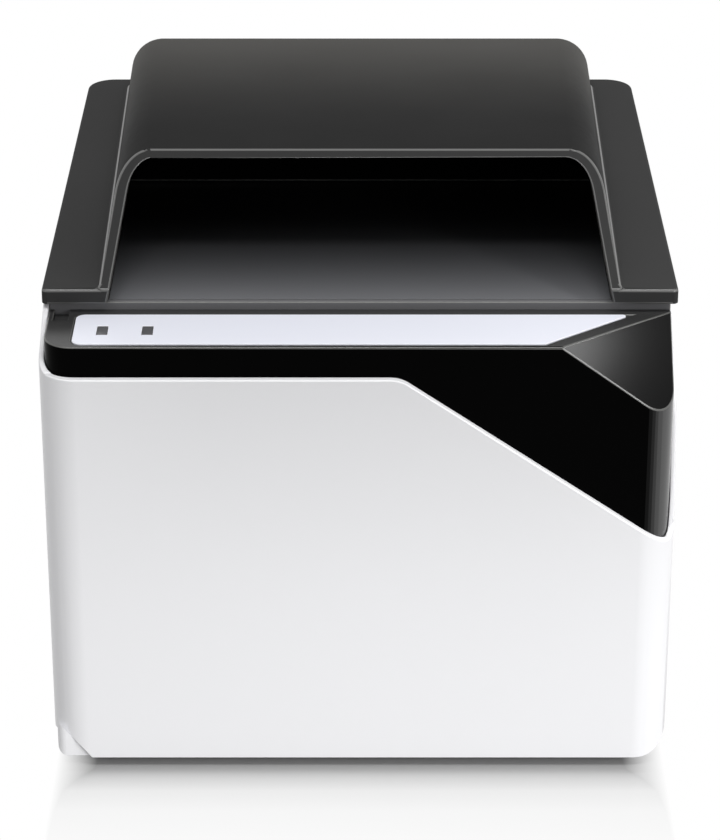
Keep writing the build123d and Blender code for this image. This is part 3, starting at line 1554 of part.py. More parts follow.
with BuildPart() as hood_cover:
    with BuildSketch(Plane.XY.offset(flange_z)) as flange:
        with Locations((0, (hood_front_y + hood_rear_y) / 2)):
            Rectangle(hood_width, hood_rear_y - hood_front_y)
        fillet(flange.vertices().group_by(Axis.Y)[0], flange_front_radius)
        fillet(flange.vertices().group_by(Axis.Y)[-1], flange_rear_radius)
    extrude(amount=flange_thickness)
    fillet(hood_cover.edges().group_by(Axis.Z)[-1], flange_edge)
    add(arch_outer)
    with BuildSketch(Plane.XY.offset(flange_top_z)) as foot:
        add(arch_plan(arch_half_front + arch_foot, hood_rear_y - flange_edge))
        fillet(foot.vertices().group_by(Axis.Y)[-1], arch_round)
    extrude(amount=arch_foot, taper=45)
    with BuildSketch(Plane.YZ):
        with BuildLine():
            Polyline(
                (hood_front_y - far, flange_z - far),
                (hood_front_y, flange_z - far),
                (hood_front_y, flange_top_z),
                (lip_y + 2 * (lip_y - hood_front_y), flange_top_z + 3 * mouth_rise),
                (hood_front_y - far, flange_top_z + 3 * mouth_rise),
                close=True,
            )
        make_face()
    extrude(amount=hood_width, both=True, mode=Mode.SUBTRACT)
    add(front_cavity, mode=Mode.SUBTRACT)
    add(rear_cavity - ribs, mode=Mode.SUBTRACT)
    with BuildSketch(Plane.XY.offset(flange_z)):
        with Locations((0, (bumper_y[0] + bumper_y[1]) / 2)):
            with GridLocations(2 * flange_pocket_x, flange_pocket_step, 2, flange_pocket_count):
                Rectangle(flange_pocket_width, flange_pocket_step - flange_pocket_rib)
    extrude(amount=flange_pocket_depth, mode=Mode.SUBTRACT)
    for side in (-1, 1):
        with BuildSketch(Plane.YZ.offset(side * (knuckle_inner_x + knuckle_width / 2))):
            with Locations((hinge_y, hinge_z)):
                Circle(knuckle_radius)
            with Locations((hood_rear_y, hinge_z)):
                Rectangle(
                    knuckle_arm, flange_z - hinge_z + knuckle_reach, align=(Align.MAX, Align.MIN)
                )
        extrude(amount=knuckle_width / 2, both=True)
    with BuildSketch(Plane.YZ.offset(-hood_width / 2)):
        with Locations((hinge_y, hinge_z)):
            Circle(pin_radius + pin_run)
    extrude(amount=hood_width, mode=Mode.SUBTRACT)
hood_cover.part.label = "hood_cover"
export_step(hood_cover.part, "parts/hood_cover.step")
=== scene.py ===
from math import pi, radians

import bmesh
import bpy
from mathutils import Matrix, Vector


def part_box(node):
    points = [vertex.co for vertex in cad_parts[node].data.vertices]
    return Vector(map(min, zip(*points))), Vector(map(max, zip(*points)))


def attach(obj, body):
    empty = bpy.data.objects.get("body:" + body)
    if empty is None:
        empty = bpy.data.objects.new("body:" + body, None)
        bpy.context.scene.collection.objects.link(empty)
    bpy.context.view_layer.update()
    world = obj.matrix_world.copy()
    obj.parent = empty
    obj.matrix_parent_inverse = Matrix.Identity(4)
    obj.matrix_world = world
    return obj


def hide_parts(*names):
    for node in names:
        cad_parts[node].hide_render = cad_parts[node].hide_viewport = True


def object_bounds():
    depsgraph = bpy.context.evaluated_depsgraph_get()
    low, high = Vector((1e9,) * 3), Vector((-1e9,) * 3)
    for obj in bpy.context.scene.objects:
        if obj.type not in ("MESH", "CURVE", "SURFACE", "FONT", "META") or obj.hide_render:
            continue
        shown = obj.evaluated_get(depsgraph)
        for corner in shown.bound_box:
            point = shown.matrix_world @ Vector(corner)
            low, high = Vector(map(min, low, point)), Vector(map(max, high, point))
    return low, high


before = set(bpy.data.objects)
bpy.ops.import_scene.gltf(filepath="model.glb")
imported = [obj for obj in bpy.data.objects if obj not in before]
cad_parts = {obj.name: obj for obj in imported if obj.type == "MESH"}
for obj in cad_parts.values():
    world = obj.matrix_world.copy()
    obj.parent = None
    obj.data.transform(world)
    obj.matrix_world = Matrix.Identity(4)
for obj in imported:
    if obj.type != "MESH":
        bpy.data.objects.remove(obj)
cad_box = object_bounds()

# Viewpoint: the camera stands in front of the reader and looks down on it at 25 degrees, from about
# a metre away. The long lens gives the weak perspective of a product photograph.
camera = bpy.data.objects.new("camera", bpy.data.cameras.new("camera"))
camera.data.lens = 137.2
camera.data.sensor_width = 36.0
camera.data.clip_start = 0.05
camera.location = (0.0, -0.8433, 0.4512)
camera.rotation_euler = (radians(65.0), 0.0, 0.0)
bpy.context.scene.collection.objects.link(camera)
bpy.context.scene.camera = camera
bpy.context.scene.view_settings.view_transform = "Standard"


# Light tent: even white light all round, a large soft box over the right shoulder and a weaker one
# on the left. The camera and the reflections see plain white.
def node(tree, kind, values=None, links=None, **settings):
    """Adds a shader node, with its settings, its sockets' values and what is linked into them."""
    made = tree.nodes.new(kind)
    for name, value in settings.items():
        setattr(made, name, value)
    for socket, value in (values or {}).items():
        made.inputs[socket].default_value = value
    for socket, source in (links or {}).items():
        tree.links.new(source, made.inputs[socket])
    return made


tent_strength = 0.5
world = bpy.data.worlds.new("light_tent")
bpy.context.scene.world = world
world.use_nodes = True
world.node_tree.nodes.clear()
seen = node(world.node_tree, "ShaderNodeLightPath")
direct = node(
    world.node_tree,
    "ShaderNodeMath",
    links={0: seen.outputs["Is Camera Ray"], 1: seen.outputs["Is Glossy Ray"]},
    operation="MAXIMUM",
)
direct = node(
    world.node_tree,
    "ShaderNodeMath",
    links={0: direct.outputs[0], 1: seen.outputs["Is Transmission Ray"]},
    operation="MAXIMUM",
)
level = node(
    world.node_tree,
    "ShaderNodeMapRange",
    values={"To Min": tent_strength, "To Max": 1.0},
    links={"Value": direct.outputs[0]},
)
tent = node(
    world.node_tree,
    "ShaderNodeBackground",
    values={"Color": (1.0, 1.0, 1.0, 1.0)},
    links={"Strength": level.outputs[0]},
)
node(world.node_tree, "ShaderNodeOutputWorld", links={"Surface": tent.outputs[0]})

# The small lamp close to the right hand corner is mirrored in the facet's left end, and fades to
# its right. Each lamp has its place, what it points at, its size in metres and its power in watts.
for lamp_name, place, aim, size, power in (
    ("soft_box_right", (0.9, -1.15, 0.62), (0.0, 0.0, 0.07), (0.7, 0.5), 16.0),
    ("soft_box_left", (-0.9, -0.8, 0.9), (0.0, 0.0, 0.07), (0.6, 0.6), 1.2),
    ("soft_box_top", (0.0, -0.3, 1.3), (0.0, 0.0, 0.12), (0.9, 0.25), 7.0),
    ("facet_lamp", (0.208, -0.103, 0.244), (0.054, -0.094, 0.121), (0.025, 0.025), 0.115),
):
    lamp = bpy.data.objects.new(lamp_name, bpy.data.lights.new(lamp_name, "AREA"))
    lamp.data.shape = "RECTANGLE"
    lamp.data.size, lamp.data.size_y = size
    lamp.data.energy = power
    lamp.location = place
    lamp.rotation_euler = (Vector(aim) - Vector(place)).to_track_quat("-Z", "Y").to_euler()
    bpy.context.scene.collection.objects.link(lamp)


# Flag: a black card keeps the right hand soft box off the hood and shades the front softly towards
# its rim. It stands outside the picture, and only its shadow counts.
def placed(name, shape, *finishes):
    """Object made from a finished shape, at the origin, with its materials."""
    mesh = bpy.data.meshes.new(name)
    shape.to_mesh(mesh)
    shape.free()
    for finish in finishes:
        mesh.materials.append(finish)
    piece = bpy.data.objects.new(name, mesh)
    bpy.context.scene.collection.objects.link(piece)
    return piece


flag_y = -0.31
flag_left, flag_right = 0.07, 0.34
flag_low, flag_high = 0.205, 0.6
card = bmesh.new()
card.faces.new(
    [
        card.verts.new((flag_left, flag_y, flag_low)),
        card.verts.new((flag_right, flag_y, flag_low)),
        card.verts.new((flag_right, flag_y, flag_high)),
        card.verts.new((flag_left, flag_y, flag_high)),
    ]
)
flag = placed("black_flag", card)
flag.visible_camera = False
flag.visible_glossy = False
flag.visible_diffuse = False


# Table: a grey laminate sheet, polished enough for a mirror image of the base. It glows to plain
# white for the camera and for reflections, but not under the reader and just in front of it, where
# the glow fades out in steps over the grey: a painted shadow, laid over the real shadow that falls
# there.
def linear(code):
    """Linear colour of an sRGB hex value."""
    parts = [int(code[i : i + 2], 16) / 255 for i in (1, 3, 5)]
    return [p / 12.92 if p <= 0.04045 else ((p + 0.055) / 1.055) ** 2.4 for p in parts] + [1.0]


def blank(name):
    """New material, and its node tree with nothing in it."""
    made = bpy.data.materials.new(name)
    made.use_nodes = True
    made.node_tree.nodes.clear()
    return made, made.node_tree


table_half = 6.0
side_fade_from, side_fade_to = 0.012, 0.001
shade_reach = 0.17
shade_steps = ((0.003, 0.05), (0.008, 0.43), (0.014, 0.73), (0.024, 0.87), (0.045, 0.94))
laminate, tree = blank("white_laminate")
sheet = node(
    tree,
    "ShaderNodeBsdfPrincipled",
    values={"Base Color": linear("#909090"), "Roughness": 0.1, "IOR": 1.45},
)
glow = node(tree, "ShaderNodeEmission", values={"Color": (1.0, 1.0, 1.0, 1.0), "Strength": 1.0})
path = node(tree, "ShaderNodeLightPath")
watched = node(
    tree,
    "ShaderNodeMath",
    links={0: path.outputs["Is Camera Ray"], 1: path.outputs["Is Glossy Ray"]},
    operation="MAXIMUM",
)
place = node(tree, "ShaderNodeTexCoord")
half = node(tree, "ShaderNodeVectorMath", links={0: place.outputs["Object"]}, operation="ABSOLUTE")
half = node(tree, "ShaderNodeSeparateXYZ", links={0: half.outputs[0]})
beside = node(
    tree,
    "ShaderNodeMapRange",
    values={"From Min": cad_box[1].x - side_fade_from, "From Max": cad_box[1].x - side_fade_to},
    links={"Value": half.outputs["X"]},
)
before = node(
    tree,
    "ShaderNodeMapRange",
    values={"From Min": cad_box[1].y - side_fade_to, "From Max": cad_box[1].y + shade_reach},
    links={"Value": half.outputs["Y"]},
)
# Painted shadow: towards the base the glow fades out in these steps, and the laminate's grey shows.
painted_shadow_ramp = node(tree, "ShaderNodeValToRGB", links={0: before.outputs[0]})
painted_shadow_ramp.color_ramp.elements[0].color = (0.0, 0.0, 0.0, 1.0)
for reached, share in shade_steps:
    stop = painted_shadow_ramp.color_ramp.elements.new(reached / shade_reach)
    stop.color = (share, share, share, 1.0)
away = node(
    tree,
    "ShaderNodeMath",
    links={0: beside.outputs[0], 1: painted_shadow_ramp.outputs["Color"]},
    operation="MAXIMUM",
)
lift = node(
    tree,
    "ShaderNodeMath",
    links={0: watched.outputs[0], 1: away.outputs[0]},
    operation="MULTIPLY",
)
blend = node(
    tree,
    "ShaderNodeMixShader",
    links={0: lift.outputs[0], 1: sheet.outputs[0], 2: glow.outputs[0]},
)
node(tree, "ShaderNodeOutputMaterial", links={"Surface": blend.outputs[0]})
top = bmesh.new()
bmesh.ops.create_grid(top, x_segments=1, y_segments=1, size=table_half)
table = placed("white_table", top, laminate)


# Outer shell: white ABS skin, injection moulded with a satin face, that wraps the sides, the front
# and the base. Its rim is a thin rounded edge that catches the light.
def dressed(name, body, slot, edge, *finishes, edge_finish=-1, low=-1.0, shortest=0.0):
    """Copy of a CAD node with its facets joined and its outer edges rounded by edge, in metres.

    Edges under height low, and those shorter than shortest, stay sharp."""
    merge_within, flat_within = 2e-6, radians(0.4)
    sharp_from, sharp_to = radians(28), radians(150)
    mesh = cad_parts[name].data.copy()
    mesh.materials.clear()
    for finish in finishes:
        mesh.materials.append(finish)
    shape = bmesh.new()
    shape.from_mesh(mesh)
    bmesh.ops.remove_doubles(shape, verts=shape.verts, dist=merge_within)
    bmesh.ops.dissolve_limit(shape, angle_limit=flat_within, verts=shape.verts, edges=shape.edges)
    for face in shape.faces:
        face.smooth = True
        face.material_index = 0
    rounded = shape.edges.layers.float.new("bevel_weight_edge")
    for corner in shape.edges:
        reach = max(vert.co.z for vert in corner.verts)
        spread = corner.calc_face_angle(0.0)
        outer = corner.is_convex and reach > low and corner.calc_length() >= shortest
        corner[rounded] = float(outer and sharp_from < spread < sharp_to)
        corner.smooth = spread < sharp_from or corner[rounded] > 0.5
    shape.to_mesh(mesh)
    shape.free()
    piece = bpy.data.objects.new(name + "_finished", mesh)
    bpy.context.scene.collection.objects.link(piece)
    rounding = piece.modifiers.new("edge_radius", "BEVEL")
    rounding.width = edge
    rounding.segments = 2
    rounding.limit_method = "WEIGHT"
    rounding.use_clamp_overlap = False
    rounding.material = edge_finish
    shading = piece.modifiers.new("flat_faces_stay_flat", "WEIGHTED_NORMAL")
    shading.mode = "FACE_AREA"
    shading.weight = 60
    shading.keep_sharp = True
    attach(piece, body)
    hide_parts(name)
    return piece


def moulded(name, colour, roughness, grain_mm, depth_mm, level=0.5, variation=0.06, dust=0.0):
    """Moulded plastic or rubber: the tool's fine grain, an uneven gloss, and dust in patches."""
    # Its dust colour also carries the hood roof's painted sheen.
    patches_per_metre, dust_and_sheen_colour = 22.0, "#8f8d88"
    plastic, tree = blank(name)
    place = node(tree, "ShaderNodeTexCoord")
    grain = node(
        tree,
        "ShaderNodeTexNoise",
        values={"Scale": 1000.0 / grain_mm, "Detail": 2.0, "Roughness": 0.6},
        links={"Vector": place.outputs["Object"]},
    )
    bump = node(
        tree,
        "ShaderNodeBump",
        values={"Strength": 0.35, "Distance": depth_mm / 1000.0},
        links={"Height": grain.outputs["Fac"]},
    )
    cloud = node(
        tree,
        "ShaderNodeTexNoise",
        values={"Scale": patches_per_metre, "Detail": 3.0},
        links={"Vector": place.outputs["Object"]},
    )
    gloss = node(
        tree,
        "ShaderNodeMapRange",
        values={"To Min": roughness * (1 - variation), "To Max": roughness * (1 + variation)},
        links={"Value": cloud.outputs["Fac"]},
    )
    patches = node(
        tree,
        "ShaderNodeMapRange",
        values={"From Min": 0.35, "From Max": 0.75, "To Max": dust},
        links={"Value": cloud.outputs["Fac"]},
    )
    tint = node(
        tree,
        "ShaderNodeMix",
        values={6: linear(colour), 7: linear(dust_and_sheen_colour)},
        links={0: patches.outputs[0]},
        data_type="RGBA",
    )
    shader = node(
        tree,
        "ShaderNodeBsdfPrincipled",
        values={"IOR": 1.53, "Specular IOR Level": level},
        links={
            "Base Color": tint.outputs[2],
            "Roughness": gloss.outputs[0],
            "Normal": bump.outputs[0],
        },
    )
    node(tree, "ShaderNodeOutputMaterial", links={"Surface": shader.outputs[0]})
    return plastic


white_abs = moulded("white_satin_abs", "#ececee", 0.34, 0.5, 0.004)
shell = dressed("outer_shell", "body", "white_shell", 0.0004, white_abs, low=0.03)

# The rim's diagonal ends in a small step in the solid. On the real shell it runs on at its own
# slope down to the corner, so the points of the step are lifted onto that line.
foot_x, foot_z, foot_slope = 0.08025, 0.0665, 0.685
foot_length, foot_height, front_skin = 0.0036, 0.0004, -0.0895
shape = bmesh.new()
shape.from_mesh(shell.data)
for vert in shape.verts:
    on_foot = foot_x - foot_length < vert.co.x < foot_x and abs(vert.co.z - foot_z) < foot_height
    if on_foot and vert.co.y < front_skin:
        vert.co.z += foot_slope * (foot_x - vert.co.x)
bmesh.ops.remove_doubles(shape, verts=shape.verts, dist=0.00002)
shape.to_mesh(shell.data)
shape.free()

# Inner housing: black ABS, polished in the mould on the front and the sides. The bezel has a satin
# face, which a high light turns grey, and the facet a smoother one. Handling has made the edges
# glossier, and their paler colour is a painted highlight. Handling has buffed the right front
# corner more, the further it turns to the side.
polished_abs = moulded("black_polished_abs", "#020202", 0.12, 2.0, 0.001, level=0.015)
satin_abs = moulded("black_satin_abs", "#303030", 0.26, 0.4, 0.002, level=0.4)
# Painted highlight: the edges get a paler copy of the black ABS, glossier than the bezel's satin.
rubbed_highlight_abs = moulded("black_rubbed_edge_painted_highlight_abs", "#4c4c4a", 0.25, 0.8, 0.002, level=0.6)
facet_abs = moulded("black_facet_abs", "#070707", 0.2, 1.0, 0.0005, level=0.06)
buffed_shine = (0.08, 0.2, 0.45, 0.75, 1.0)
buffed_from = (0.12, 0.24, 0.36, 0.48, 0.6)
buffed_abs = [
    moulded("black_buffed_corner_abs_%d" % step, "#030303", 0.14, 2.0, 0.001, level=shine)
    for step, shine in enumerate(buffed_shine)
]
housing = dressed(
    "inner_housing",
    "body",
    "black_gloss",
    0.0003,
    polished_abs,
    satin_abs,
    rubbed_highlight_abs,
    facet_abs,
    *buffed_abs,
    edge_finish=2,
)
bezel_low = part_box("inner_housing")[1].z - 0.023
bezel_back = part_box("top_deck")[0].y + 0.012
satin_index, rubbed_highlight_index, facet_index = 1, 2, 3
for face in housing.data.polygons:
    place, way = face.center, face.normal
    on_bezel = way.z > 0.25 and place.z > bezel_low and place.y < bezel_back
    upright_front = way.y < -0.05 and abs(way.z) < 0.1
    if on_bezel and way.x > 0.3:
        face.material_index = facet_index
    elif on_bezel:
        face.material_index = satin_index if way.z > 0.95 else rubbed_highlight_index
    elif upright_front and place.x > 0:
        buffed = sum(way.x > turned for turned in buffed_from)
        if buffed:
            face.material_index = facet_index + buffed


# Sheet metal: the chassis plate, the camera's bracket and the lock's plate are pressed from zinc
# plated steel. The hinge pins are ground steel rod, and show only where the hinge's ears end.
def plated(name, colour, roughness, grain_mm, lines=1.0, depth_mm=0.002):
    """Plated or bare metal: fine crystals break up its gloss, drawn out where lines isn't 1."""
    dark_share = 0.72
    metal, tree = blank(name)
    place = node(tree, "ShaderNodeTexCoord")
    drawn = node(
        tree,
        "ShaderNodeMapping",
        values={"Scale": (1.0, 1.0 / lines, 1.0)},
        links={"Vector": place.outputs["Object"]},
    )
    crystals = node(
        tree,
        "ShaderNodeTexNoise",
        values={"Scale": 1000.0 / grain_mm, "Detail": 4.0, "Roughness": 0.65},
        links={"Vector": drawn.outputs[0]},
    )
    gloss = node(
        tree,
        "ShaderNodeMapRange",
        values={"To Min": roughness * 0.7, "To Max": roughness * 1.35},
        links={"Value": crystals.outputs["Fac"]},
    )
    bump = node(
        tree,
        "ShaderNodeBump",
        values={"Strength": 0.3, "Distance": depth_mm / 1000.0},
        links={"Height": crystals.outputs["Fac"]},
    )
    bright = linear(colour)
    tone = node(
        tree,
        "ShaderNodeMix",
        values={6: [dark_share * part for part in bright[:3]] + [1.0], 7: bright},
        links={0: crystals.outputs["Fac"]},
        data_type="RGBA",
    )
    shader = node(
        tree,
        "ShaderNodeBsdfPrincipled",
        values={"Metallic": 1.0},
        links={
            "Base Color": tone.outputs[2],
            "Roughness": gloss.outputs[0],
            "Normal": bump.outputs[0],
        },
    )
    node(tree, "ShaderNodeOutputMaterial", links={"Surface": shader.outputs[0]})
    return metal


def finished(material, *names):
    """Gives CAD nodes whose shape is right their real finish."""
    for name in names:
        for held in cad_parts[name].material_slots:
            held.material = material


zinc = plated("zinc_plated_steel", "#c3c6c6", 0.38, 1.6)
finished(zinc, "chassis_plate", "camera_bracket")
dressed("lock_plate", "body", "zinc_steel", 0.0002, zinc)
ground_steel = plated("ground_steel_rod", "#b4b2ae", 0.24, 0.3, lines=0.2)
dressed("hinge_pins", "body", "zinc_steel", 0.0001, ground_steel)


# Camera: sensor board with its lens holder, barrel and front glass, looking up at the window. The
# board is glass epoxy whose etched tracks show through its solder mask. The sensor's epoxy is dull,
# the holder's nylon has a soft gloss, and the anodised barrel fine turned lines.
def circuit(name, mask, track, hole, pitch_mm):
    """Printed circuit board: tracks in a stepped grid under the mask, dotted with tinned holes."""
    holes_per_pitch, hole_reach = 0.42, 0.14
    board, tree = blank(name)
    place = node(tree, "ShaderNodeTexCoord")
    tracks = node(
        tree,
        "ShaderNodeTexBrick",
        values={
            "Color1": linear(mask),
            "Color2": linear(mask),
            "Mortar": linear(track),
            "Scale": 1000.0 / pitch_mm,
            "Mortar Size": 0.07,
            "Mortar Smooth": 0.2,
            "Brick Width": 3.5,
            "Row Height": 0.6,
        },
        links={"Vector": place.outputs["Object"]},
    )
    dots = node(
        tree,
        "ShaderNodeTexVoronoi",
        values={"Scale": 1000.0 * holes_per_pitch / pitch_mm, "Randomness": 0.8},
        links={"Vector": place.outputs["Object"]},
    )
    holes = node(
        tree,
        "ShaderNodeMath",
        values={1: hole_reach},
        links={0: dots.outputs["Distance"]},
        operation="LESS_THAN",
    )
    colour = node(
        tree,
        "ShaderNodeMix",
        values={7: linear(hole)},
        links={0: holes.outputs[0], 6: tracks.outputs["Color"]},
        data_type="RGBA",
    )
    bump = node(
        tree,
        "ShaderNodeBump",
        values={"Strength": 0.4, "Distance": 0.00003},
        links={"Height": tracks.outputs["Fac"]},
    )
    gloss = node(
        tree,
        "ShaderNodeMapRange",
        values={"To Min": 0.32, "To Max": 0.2},
        links={"Value": holes.outputs[0]},
    )
    shader = node(
        tree,
        "ShaderNodeBsdfPrincipled",
        values={"IOR": 1.55},
        links={
            "Base Color": colour.outputs[2],
            "Metallic": holes.outputs[0],
            "Roughness": gloss.outputs[0],
            "Normal": bump.outputs[0],
        },
    )
    node(tree, "ShaderNodeOutputMaterial", links={"Surface": shader.outputs[0]})
    return board


green_mask = circuit("green_solder_mask", "#0f4526", "#2a7d4a", "#c9c3a8", 1.27)
finished(green_mask, "camera_board")
moulding_epoxy = moulded("black_moulding_epoxy", "#1d1d1f", 0.5, 0.25, 0.006, level=0.4, dust=0.05)
finished(moulding_epoxy, "image_sensor")
smooth_nylon = moulded("black_smooth_nylon", "#161616", 0.35, 1.2, 0.003)
finished(smooth_nylon, "lens_holder", "camera_connector")
black_anodised = plated("black_anodised_aluminium", "#2a2a2b", 0.42, 0.4, lines=12.0)
finished(black_anodised, "lens_barrel")
coated_glass, tree = blank("coated_lens_glass")
tilt = node(tree, "ShaderNodeLayerWeight", values={"Blend": 0.35})
bloom = node(
    tree,
    "ShaderNodeMix",
    values={6: linear("#1a1030"), 7: linear("#2f6a4a")},
    links={0: tilt.outputs["Facing"]},
    data_type="RGBA",
)
lens_front = node(
    tree,
    "ShaderNodeBsdfPrincipled",
    values={"Roughness": 0.03, "IOR": 1.52, "Coat Weight": 1.0, "Coat Roughness": 0.02},
    links={"Base Color": bloom.outputs[2]},
)
node(tree, "ShaderNodeOutputMaterial", links={"Surface": lens_front.outputs[0]})
finished(coated_glass, "camera_lens")

# Lighting: a matt black shroud keeps stray light off the page, and two white boards of yellow
# phosphor diodes stand in it, one each side of the camera.
matt_abs = moulded("black_matt_abs", "#0f0f10", 0.75, 0.5, 0.02, level=0.25)
finished(matt_abs, "light_shroud")
white_mask = circuit("white_solder_mask", "#dcdcd6", "#c6c6be", "#cfcab4", 2.0)
finished(white_mask, "led_boards")
phosphor = moulded("yellow_phosphor_silicone", "#e3cf62", 0.3, 0.2, 0.004, variation=0.15)
finished(phosphor, "led_emitters", "indicator_leds")

# Main board on its standoffs: processor under a black finned heat sink, memory, sockets for the
# flat cables in cream nylon, a buzzer, and two capacitors in bare aluminium cans.
finished(green_mask, "main_board", "indicator_board", "antenna_board")
finished(moulding_epoxy, "processor", "memory_chips", "buzzer")
finished(black_anodised, "heat_sink")
cream_nylon = moulded("cream_nylon", "#cfc4a4", 0.45, 0.6, 0.004)
finished(cream_nylon, "board_connectors")
bare_can = plated("bare_aluminium_can", "#c9cacb", 0.3, 0.5, lines=6.0)
finished(bare_can, "board_capacitors")

# Flat cables: amber polyimide film over copper lines, which show through as paler stripes. The
# lines are drawn at one millimetre, about twice their real pitch, so that they show. The wires
# beside them are in soft black PVC sleeves.
line_pitch_mm = 1.0
wave_period = 0.314
film_cable, tree = blank("polyimide_flat_cable")
place = node(tree, "ShaderNodeTexCoord")
stripes = node(
    tree,
    "ShaderNodeTexWave",
    values={"Scale": 1000.0 * wave_period / line_pitch_mm},
    links={"Vector": place.outputs["Object"]},
    bands_direction="X",
)
copper_lines = node(
    tree,
    "ShaderNodeMix",
    values={6: linear("#7a3d0c"), 7: linear("#c27a2c")},
    links={0: stripes.outputs["Fac"]},
    data_type="RGBA",
)
ridges = node(
    tree,
    "ShaderNodeBump",
    values={"Strength": 0.3, "Distance": 0.00005},
    links={"Height": stripes.outputs["Fac"]},
)
film_face = node(
    tree,
    "ShaderNodeBsdfPrincipled",
    values={"Roughness": 0.22, "IOR": 1.7},
    links={"Base Color": copper_lines.outputs[2], "Normal": ridges.outputs[0]},
)
node(tree, "ShaderNodeOutputMaterial", links={"Surface": film_face.outputs[0]})
finished(film_cable, "camera_flex", "led_cables", "indicator_cable")
wire_sleeve = moulded("black_pvc_sleeve", "#141414", 0.4, 0.7, 0.004)
finished(wire_sleeve, "antenna_cable", "switch_wires")

# Top deck: dark grey ABS frame with a fine moulded grain, screwed down on the housing. The hood
# hides all but its front lip, whose edges are glossier and painted paler as a painted highlight.
deck_abs = moulded("dark_grey_abs", "#626264", 0.45, 0.4, 0.006, level=0.3)
# Painted highlight: a paler, glossier copy of the deck's grey ABS for its edges.
deck_edge_highlight_abs = moulded("dark_grey_rubbed_painted_highlight_abs", "#6c6c6a", 0.3, 0.6, 0.003)
dressed("top_deck", "body", "deck_black", 0.0003, deck_abs, deck_edge_highlight_abs, edge_finish=1)

# Document window: toughened glass with a fine etched face against glare, over a dark tunnel. Its
# colour is painted pale towards the mouth and near black further in: painted light at the mouth and
# painted shade under the hood. A black foam gasket beds it in the deck's rebate.
etch_per_metre, smears_per_metre = 1800.0, 30.0
painted_light_length, painted_light_curve = 0.065, 2.4
glass_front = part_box("platen_glass")[0].y
etched_glass, tree = blank("etched_window_glass")
place = node(tree, "ShaderNodeTexCoord")
etch = node(
    tree,
    "ShaderNodeTexNoise",
    values={"Scale": etch_per_metre, "Detail": 1.0},
    links={"Vector": place.outputs["Object"]},
)
etch_bump = node(
    tree,
    "ShaderNodeBump",
    values={"Strength": 0.1, "Distance": 0.00001},
    links={"Height": etch.outputs["Fac"]},
)
smear = node(
    tree,
    "ShaderNodeTexNoise",
    values={"Scale": smears_per_metre, "Detail": 2.0},
    links={"Vector": place.outputs["Object"]},
)
haze = node(
    tree,
    "ShaderNodeMapRange",
    values={"To Min": 0.38, "To Max": 0.46},
    links={"Value": smear.outputs["Fac"]},
)
along = node(tree, "ShaderNodeSeparateXYZ", links={0: place.outputs["Object"]})
# Painted light and shade: the glass's colour ramps from near black to pale grey towards the mouth.
painted_light_ramp = node(
    tree,
    "ShaderNodeMapRange",
    values={"From Min": glass_front + painted_light_length, "From Max": glass_front},
    links={"Value": along.outputs["Y"]},
)
painted_light_ramp = node(
    tree,
    "ShaderNodeMath",
    values={1: painted_light_curve},
    links={0: painted_light_ramp.outputs[0]},
    operation="POWER",
)
painted_light_tone = node(
    tree,
    "ShaderNodeMix",
    values={6: linear("#050506"), 7: linear("#646568")},
    links={0: painted_light_ramp.outputs[0]},
    data_type="RGBA",
)
window = node(
    tree,
    "ShaderNodeBsdfPrincipled",
    values={"IOR": 1.5, "Specular IOR Level": 0.5},
    links={
        "Base Color": painted_light_tone.outputs[2],
        "Roughness": haze.outputs[0],
        "Normal": etch_bump.outputs[0],
    },
)
node(tree, "ShaderNodeOutputMaterial", links={"Surface": window.outputs[0]})
dressed("platen_glass", "body", "window_glass", 0.0001, etched_glass)
foam = moulded("black_gasket_foam", "#121212", 0.9, 0.9, 0.05, level=0.2)
finished(foam, "glass_gasket")

# Status strip: white polyester film, die cut and stuck to the bezel, its cut edge painted brighter
# as a painted highlight. Two windows of smoked acrylic sit in it, one over each indicator diode.
film = moulded("white_polyester_film", "#e7e9f3", 0.3, 0.6, 0.002)
# Painted highlight: the cut edge is coloured brighter than the film.
film_edge_highlight = moulded("white_film_cut_edge_painted_highlight", "#fafaff", 0.3, 0.6, 0.002)
dressed("status_strip", "body", "strip_white", 0.0001, film, film_edge_highlight, edge_finish=1)
smoked = moulded("smoked_acrylic", "#5a5a5c", 0.15, 1.0, 0.001)
dressed("indicator_lenses", "body", "lens_grey", 0.0002, smoked)

# Back panel: black ABS with a coarser moulded grain and a little dust. It has cooling slots and a
# lock slot, and is screwed to the housing's bosses.
panel_abs = moulded("black_grained_abs", "#262626", 0.5, 0.4, 0.008, level=0.35, dust=0.05)
finished(panel_abs, "rear_panel")

# Data socket: a folded can in nickel plated steel round a square nylon tongue, with two gold plated
# contacts on its top and two under it. Only their front ends show in the mouth.
nickel = plated("nickel_plated_steel", "#cfccc4", 0.2, 0.3, lines=8.0, depth_mm=0.001)
dressed("usb_socket", "body", "socket_nickel", 0.00015, nickel)
dressed("usb_tongue", "body", "connector_cream", 0.0001, cream_nylon)
gold = plated("gold_plated_contact", "#d9b45a", 0.25, 0.2, lines=6.0, depth_mm=0.001)
contact_size = Vector((0.001, 0.006, 0.0002))
contact_edge, contact_setback, contact_spacing = 0.00005, 0.0006, 0.0025
tongue_low, tongue_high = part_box("usb_tongue")
tongue_x = (tongue_low.x + tongue_high.x) / 2
contact_y = tongue_high.y - contact_size.y / 2 - contact_setback
strips = bmesh.new()
for contact_x in (tongue_x - contact_spacing / 2, tongue_x + contact_spacing / 2):
    for contact_z in (tongue_low.z, tongue_high.z):
        seat = Matrix.Translation((contact_x, contact_y, contact_z))
        blade = Matrix.Diagonal((*contact_size, 1.0))
        bmesh.ops.create_cube(strips, size=1.0, matrix=seat @ blade)
bmesh.ops.bevel(
    strips,
    geom=strips.edges[:],
    offset=contact_edge,
    affect="EDGES",
    segments=2,
    profile=0.5,
    material=-1,
)
contacts = placed("tongue_contacts", strips, gold)
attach(contacts, "body")

